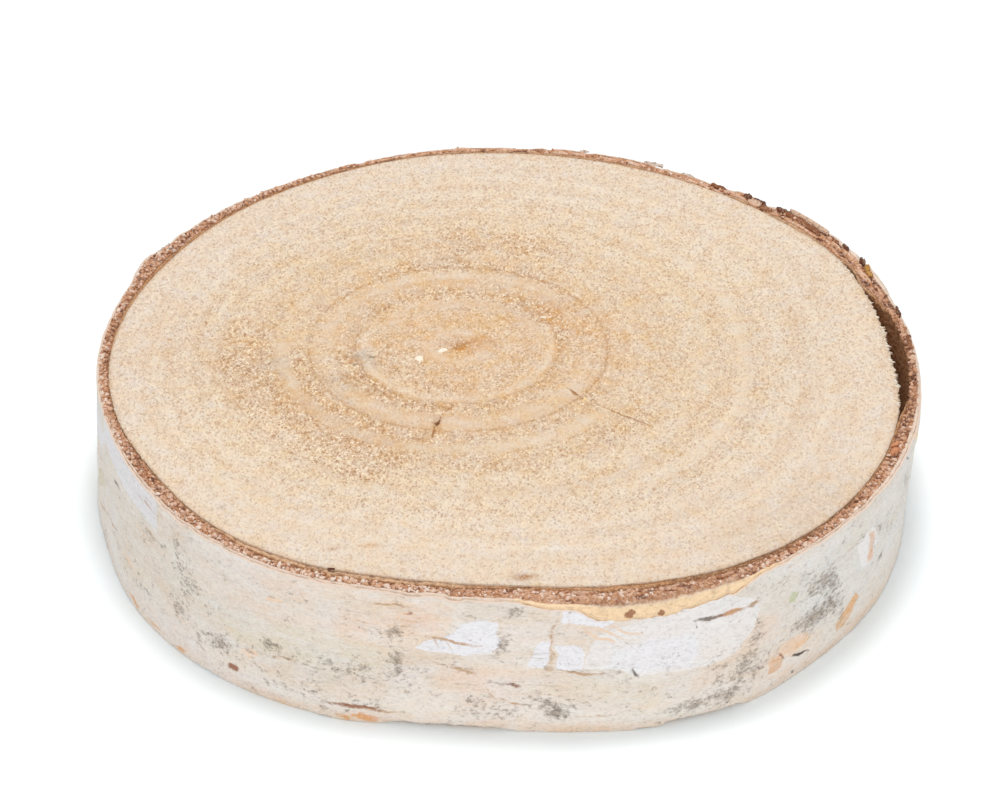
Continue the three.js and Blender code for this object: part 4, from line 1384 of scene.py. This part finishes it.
def papery(tree, cloud, streaks, mottle):
    """The tone of the paper: its tints, worn streaks, sheets with torn edges, and speckles."""
    tone = ramp(tree, cloud, [(0.36, PAPER_TAN), (0.5, PAPER_BARE), (0.64, PAPER_PALE)])
    tint, tinted = stored(tree, "tint")
    soft = ramp(tree, streaks, [(0.28, 0.55), (0.66, 1.15)])
    tone = mixed(tree, times(tree, tinted, soft, clamp=True), tone, tint)
    tone = mixed(tree, ramp(tree, streaks, [(0.56, 0.0), (0.72, 0.5)]), tone, PAPER_WORN)
    sheet, covered = stored(tree, "sheet")
    tattered = speckle(tree, 3.2 * MM, stretch=(0.7, 0.7, 1.1), detail=7, roughness=0.7)
    torn_off = sums(tree, "MULTIPLY_ADD", tattered, 1.5, sums(tree, "SUBTRACT", covered, 0.75))
    tone = mixed(tree, ramp(tree, torn_off, [(0.36, 0.0), (0.46, 0.9)]), tone, sheet)
    tone = tinged(tree, tone, 9 * MM, 1.3, 0.05, stretch=(0.5, 0.5, 1.3))
    tone = flecked(tree, tone, mottle, 0.12, MOTTLE_PALE, MOTTLE_DARK)
    tone = flecked(tree, tone, grains(tree, FINE_GRAIN, LEVEL)[0], 0.20, SPECK_PALE, SPECK_DARK)
    hairs = speckle(tree, 0.8 * MM, stretch=(0.07, 0.07, 1.0), detail=4)
    hairs = ramp(tree, hairs, [(0.60, 0.0), (0.68, 0.45)])
    lined = ramp(tree, cloud, [(0.35, 1.0), (0.55, 0.0)])
    return mixed(tree, times(tree, hairs, lined), tone, PAPER_HAIR)


def white_bark_material():
    material, tree, shader = surface("white_bark", roughness=0.62, specular=0.3)
    cloud = speckle(tree, 16 * MM, stretch=(0.5, 0.5, 1.6), detail=5)
    streaks = speckle(tree, 3 * MM, stretch=(0.22, 0.22, 1.5), detail=5, roughness=0.68)
    mottle = speckle(tree, 1.6 * MM, stretch=(0.7, 0.7, 1.0), detail=4)
    mottle = ramp(tree, mottle, [(0.32, 0.0), (0.68, 1.0)])
    tone = papery(tree, cloud, streaks, mottle)
    rubbed = speckle(tree, 1.1 * MM, stretch=LEVEL, detail=5, roughness=0.8)
    dirt = sums(tree, "SUBTRACT", attribute(tree, "dirt"), 0.6)
    clump = sums(tree, "MULTIPLY_ADD", speckle(tree, 5 * MM), 1.2, dirt)
    density = sums(tree, "MULTIPLY_ADD", rubbed, 2.8, sums(tree, "SUBTRACT", clump, 1.4))
    dirty = ramp(tree, times(tree, density, 0.5), [(0.16, 0.0), (0.40, 0.85)])
    tone = mixed(tree, dirty, tone, ramp(tree, mottle, [(0.2, DIRT_DARK), (0.8, DIRT_PALE)]))
    line, lined = stored(tree, "line")
    broken = sums(tree, "MULTIPLY_ADD", rubbed, 1.7, sums(tree, "SUBTRACT", lined, 0.85))
    faint = times(tree, lined, 2.0, clamp=True)
    drawn = times(tree, ramp(tree, broken, [(0.20, 0.0), (0.60, 0.95)]), faint)
    tone = mixed(tree, drawn, tone, line)
    tone = mixed(tree, attribute(tree, "bare"), tone, PAPER)
    tree.links.new(tone, shader.inputs["Base Color"])
    bump(tree, shader, sums(tree, "SUBTRACT", streaks, dirty), 0.35 * MM, 0.6)
    return material


white_bark.data.materials.append(white_bark_material())
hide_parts("bark")

# The studio
# A white floor under an even white sky, with a soft light high above the slice and a wide one low in front.
# The floor glows a little, and bluish, as a white floor does that is lit from all round.

SKY = 0.63
FLOOR_HALF = 6  # metres
FLOOR_WHITE = (0.95, 0.96, 0.965)
FLOOR_GLOW = 0.12
GLOW_TINT = (0.6, 0.9, 1.0)


def floor_material():
    material, _, shader = surface("floor", roughness=0.9, specular=0.0)
    shader.inputs["Base Color"].default_value = (*FLOOR_WHITE, 1)
    shader.inputs["Emission Color"].default_value = (*GLOW_TINT, 1)
    shader.inputs["Emission Strength"].default_value = FLOOR_GLOW
    return material


bm = bmesh.new()
bmesh.ops.create_grid(bm, x_segments=1, y_segments=1, size=FLOOR_HALF)
bmesh.ops.recalc_face_normals(bm, faces=bm.faces)
floor_mesh = bpy.data.meshes.new("floor")
bm.to_mesh(floor_mesh)
bm.free()
floor = bpy.data.objects.new("floor", floor_mesh)
bpy.context.scene.collection.objects.link(floor)
floor.data.materials.append(floor_material())

world = bpy.data.worlds.new("sky")
world.use_nodes = True
world.node_tree.nodes["Background"].inputs["Color"].default_value = (1, 1, 1, 1)
world.node_tree.nodes["Background"].inputs["Strength"].default_value = SKY
bpy.context.scene.world = world
bpy.context.scene.view_settings.view_transform = "Standard"


def soft_light(name, place_at, size, power):
    """A round lamp that faces the slice, with its size in metres and its power in watts."""
    light = bpy.data.lights.new(name, "AREA")
    light.shape = "DISK"
    light.size = size
    light.energy = power
    lamp = bpy.data.objects.new(name, light)
    lamp.location = place_at
    lamp.rotation_euler = (-Vector(place_at)).to_track_quat("-Z", "Y").to_euler()
    bpy.context.scene.collection.objects.link(lamp)


soft_light("key", (0.04, 0.12, 1.6), 0.40, 10)
soft_light("fill", (0.1, -3.0, 0.7), 1.2, 12)

# The photograph was taken from about a metre and a half away, through a long lens.
CAMERA_PLACE = (-0.8 * MM, -1267.5 * MM, THICKNESS + 838.8 * MM)
CAMERA_PITCH = 34  # degrees below level
LENS = 170.1  # millimetres
SENSOR = 36  # millimetres
camera = bpy.data.cameras.new("camera")
camera.lens = LENS
camera.sensor_width = SENSOR
viewer = bpy.data.objects.new("camera", camera)
viewer.location = CAMERA_PLACE
viewer.rotation_euler = (math.radians(90 - CAMERA_PITCH), 0, 0)
bpy.context.scene.collection.objects.link(viewer)
bpy.context.scene.camera = viewer
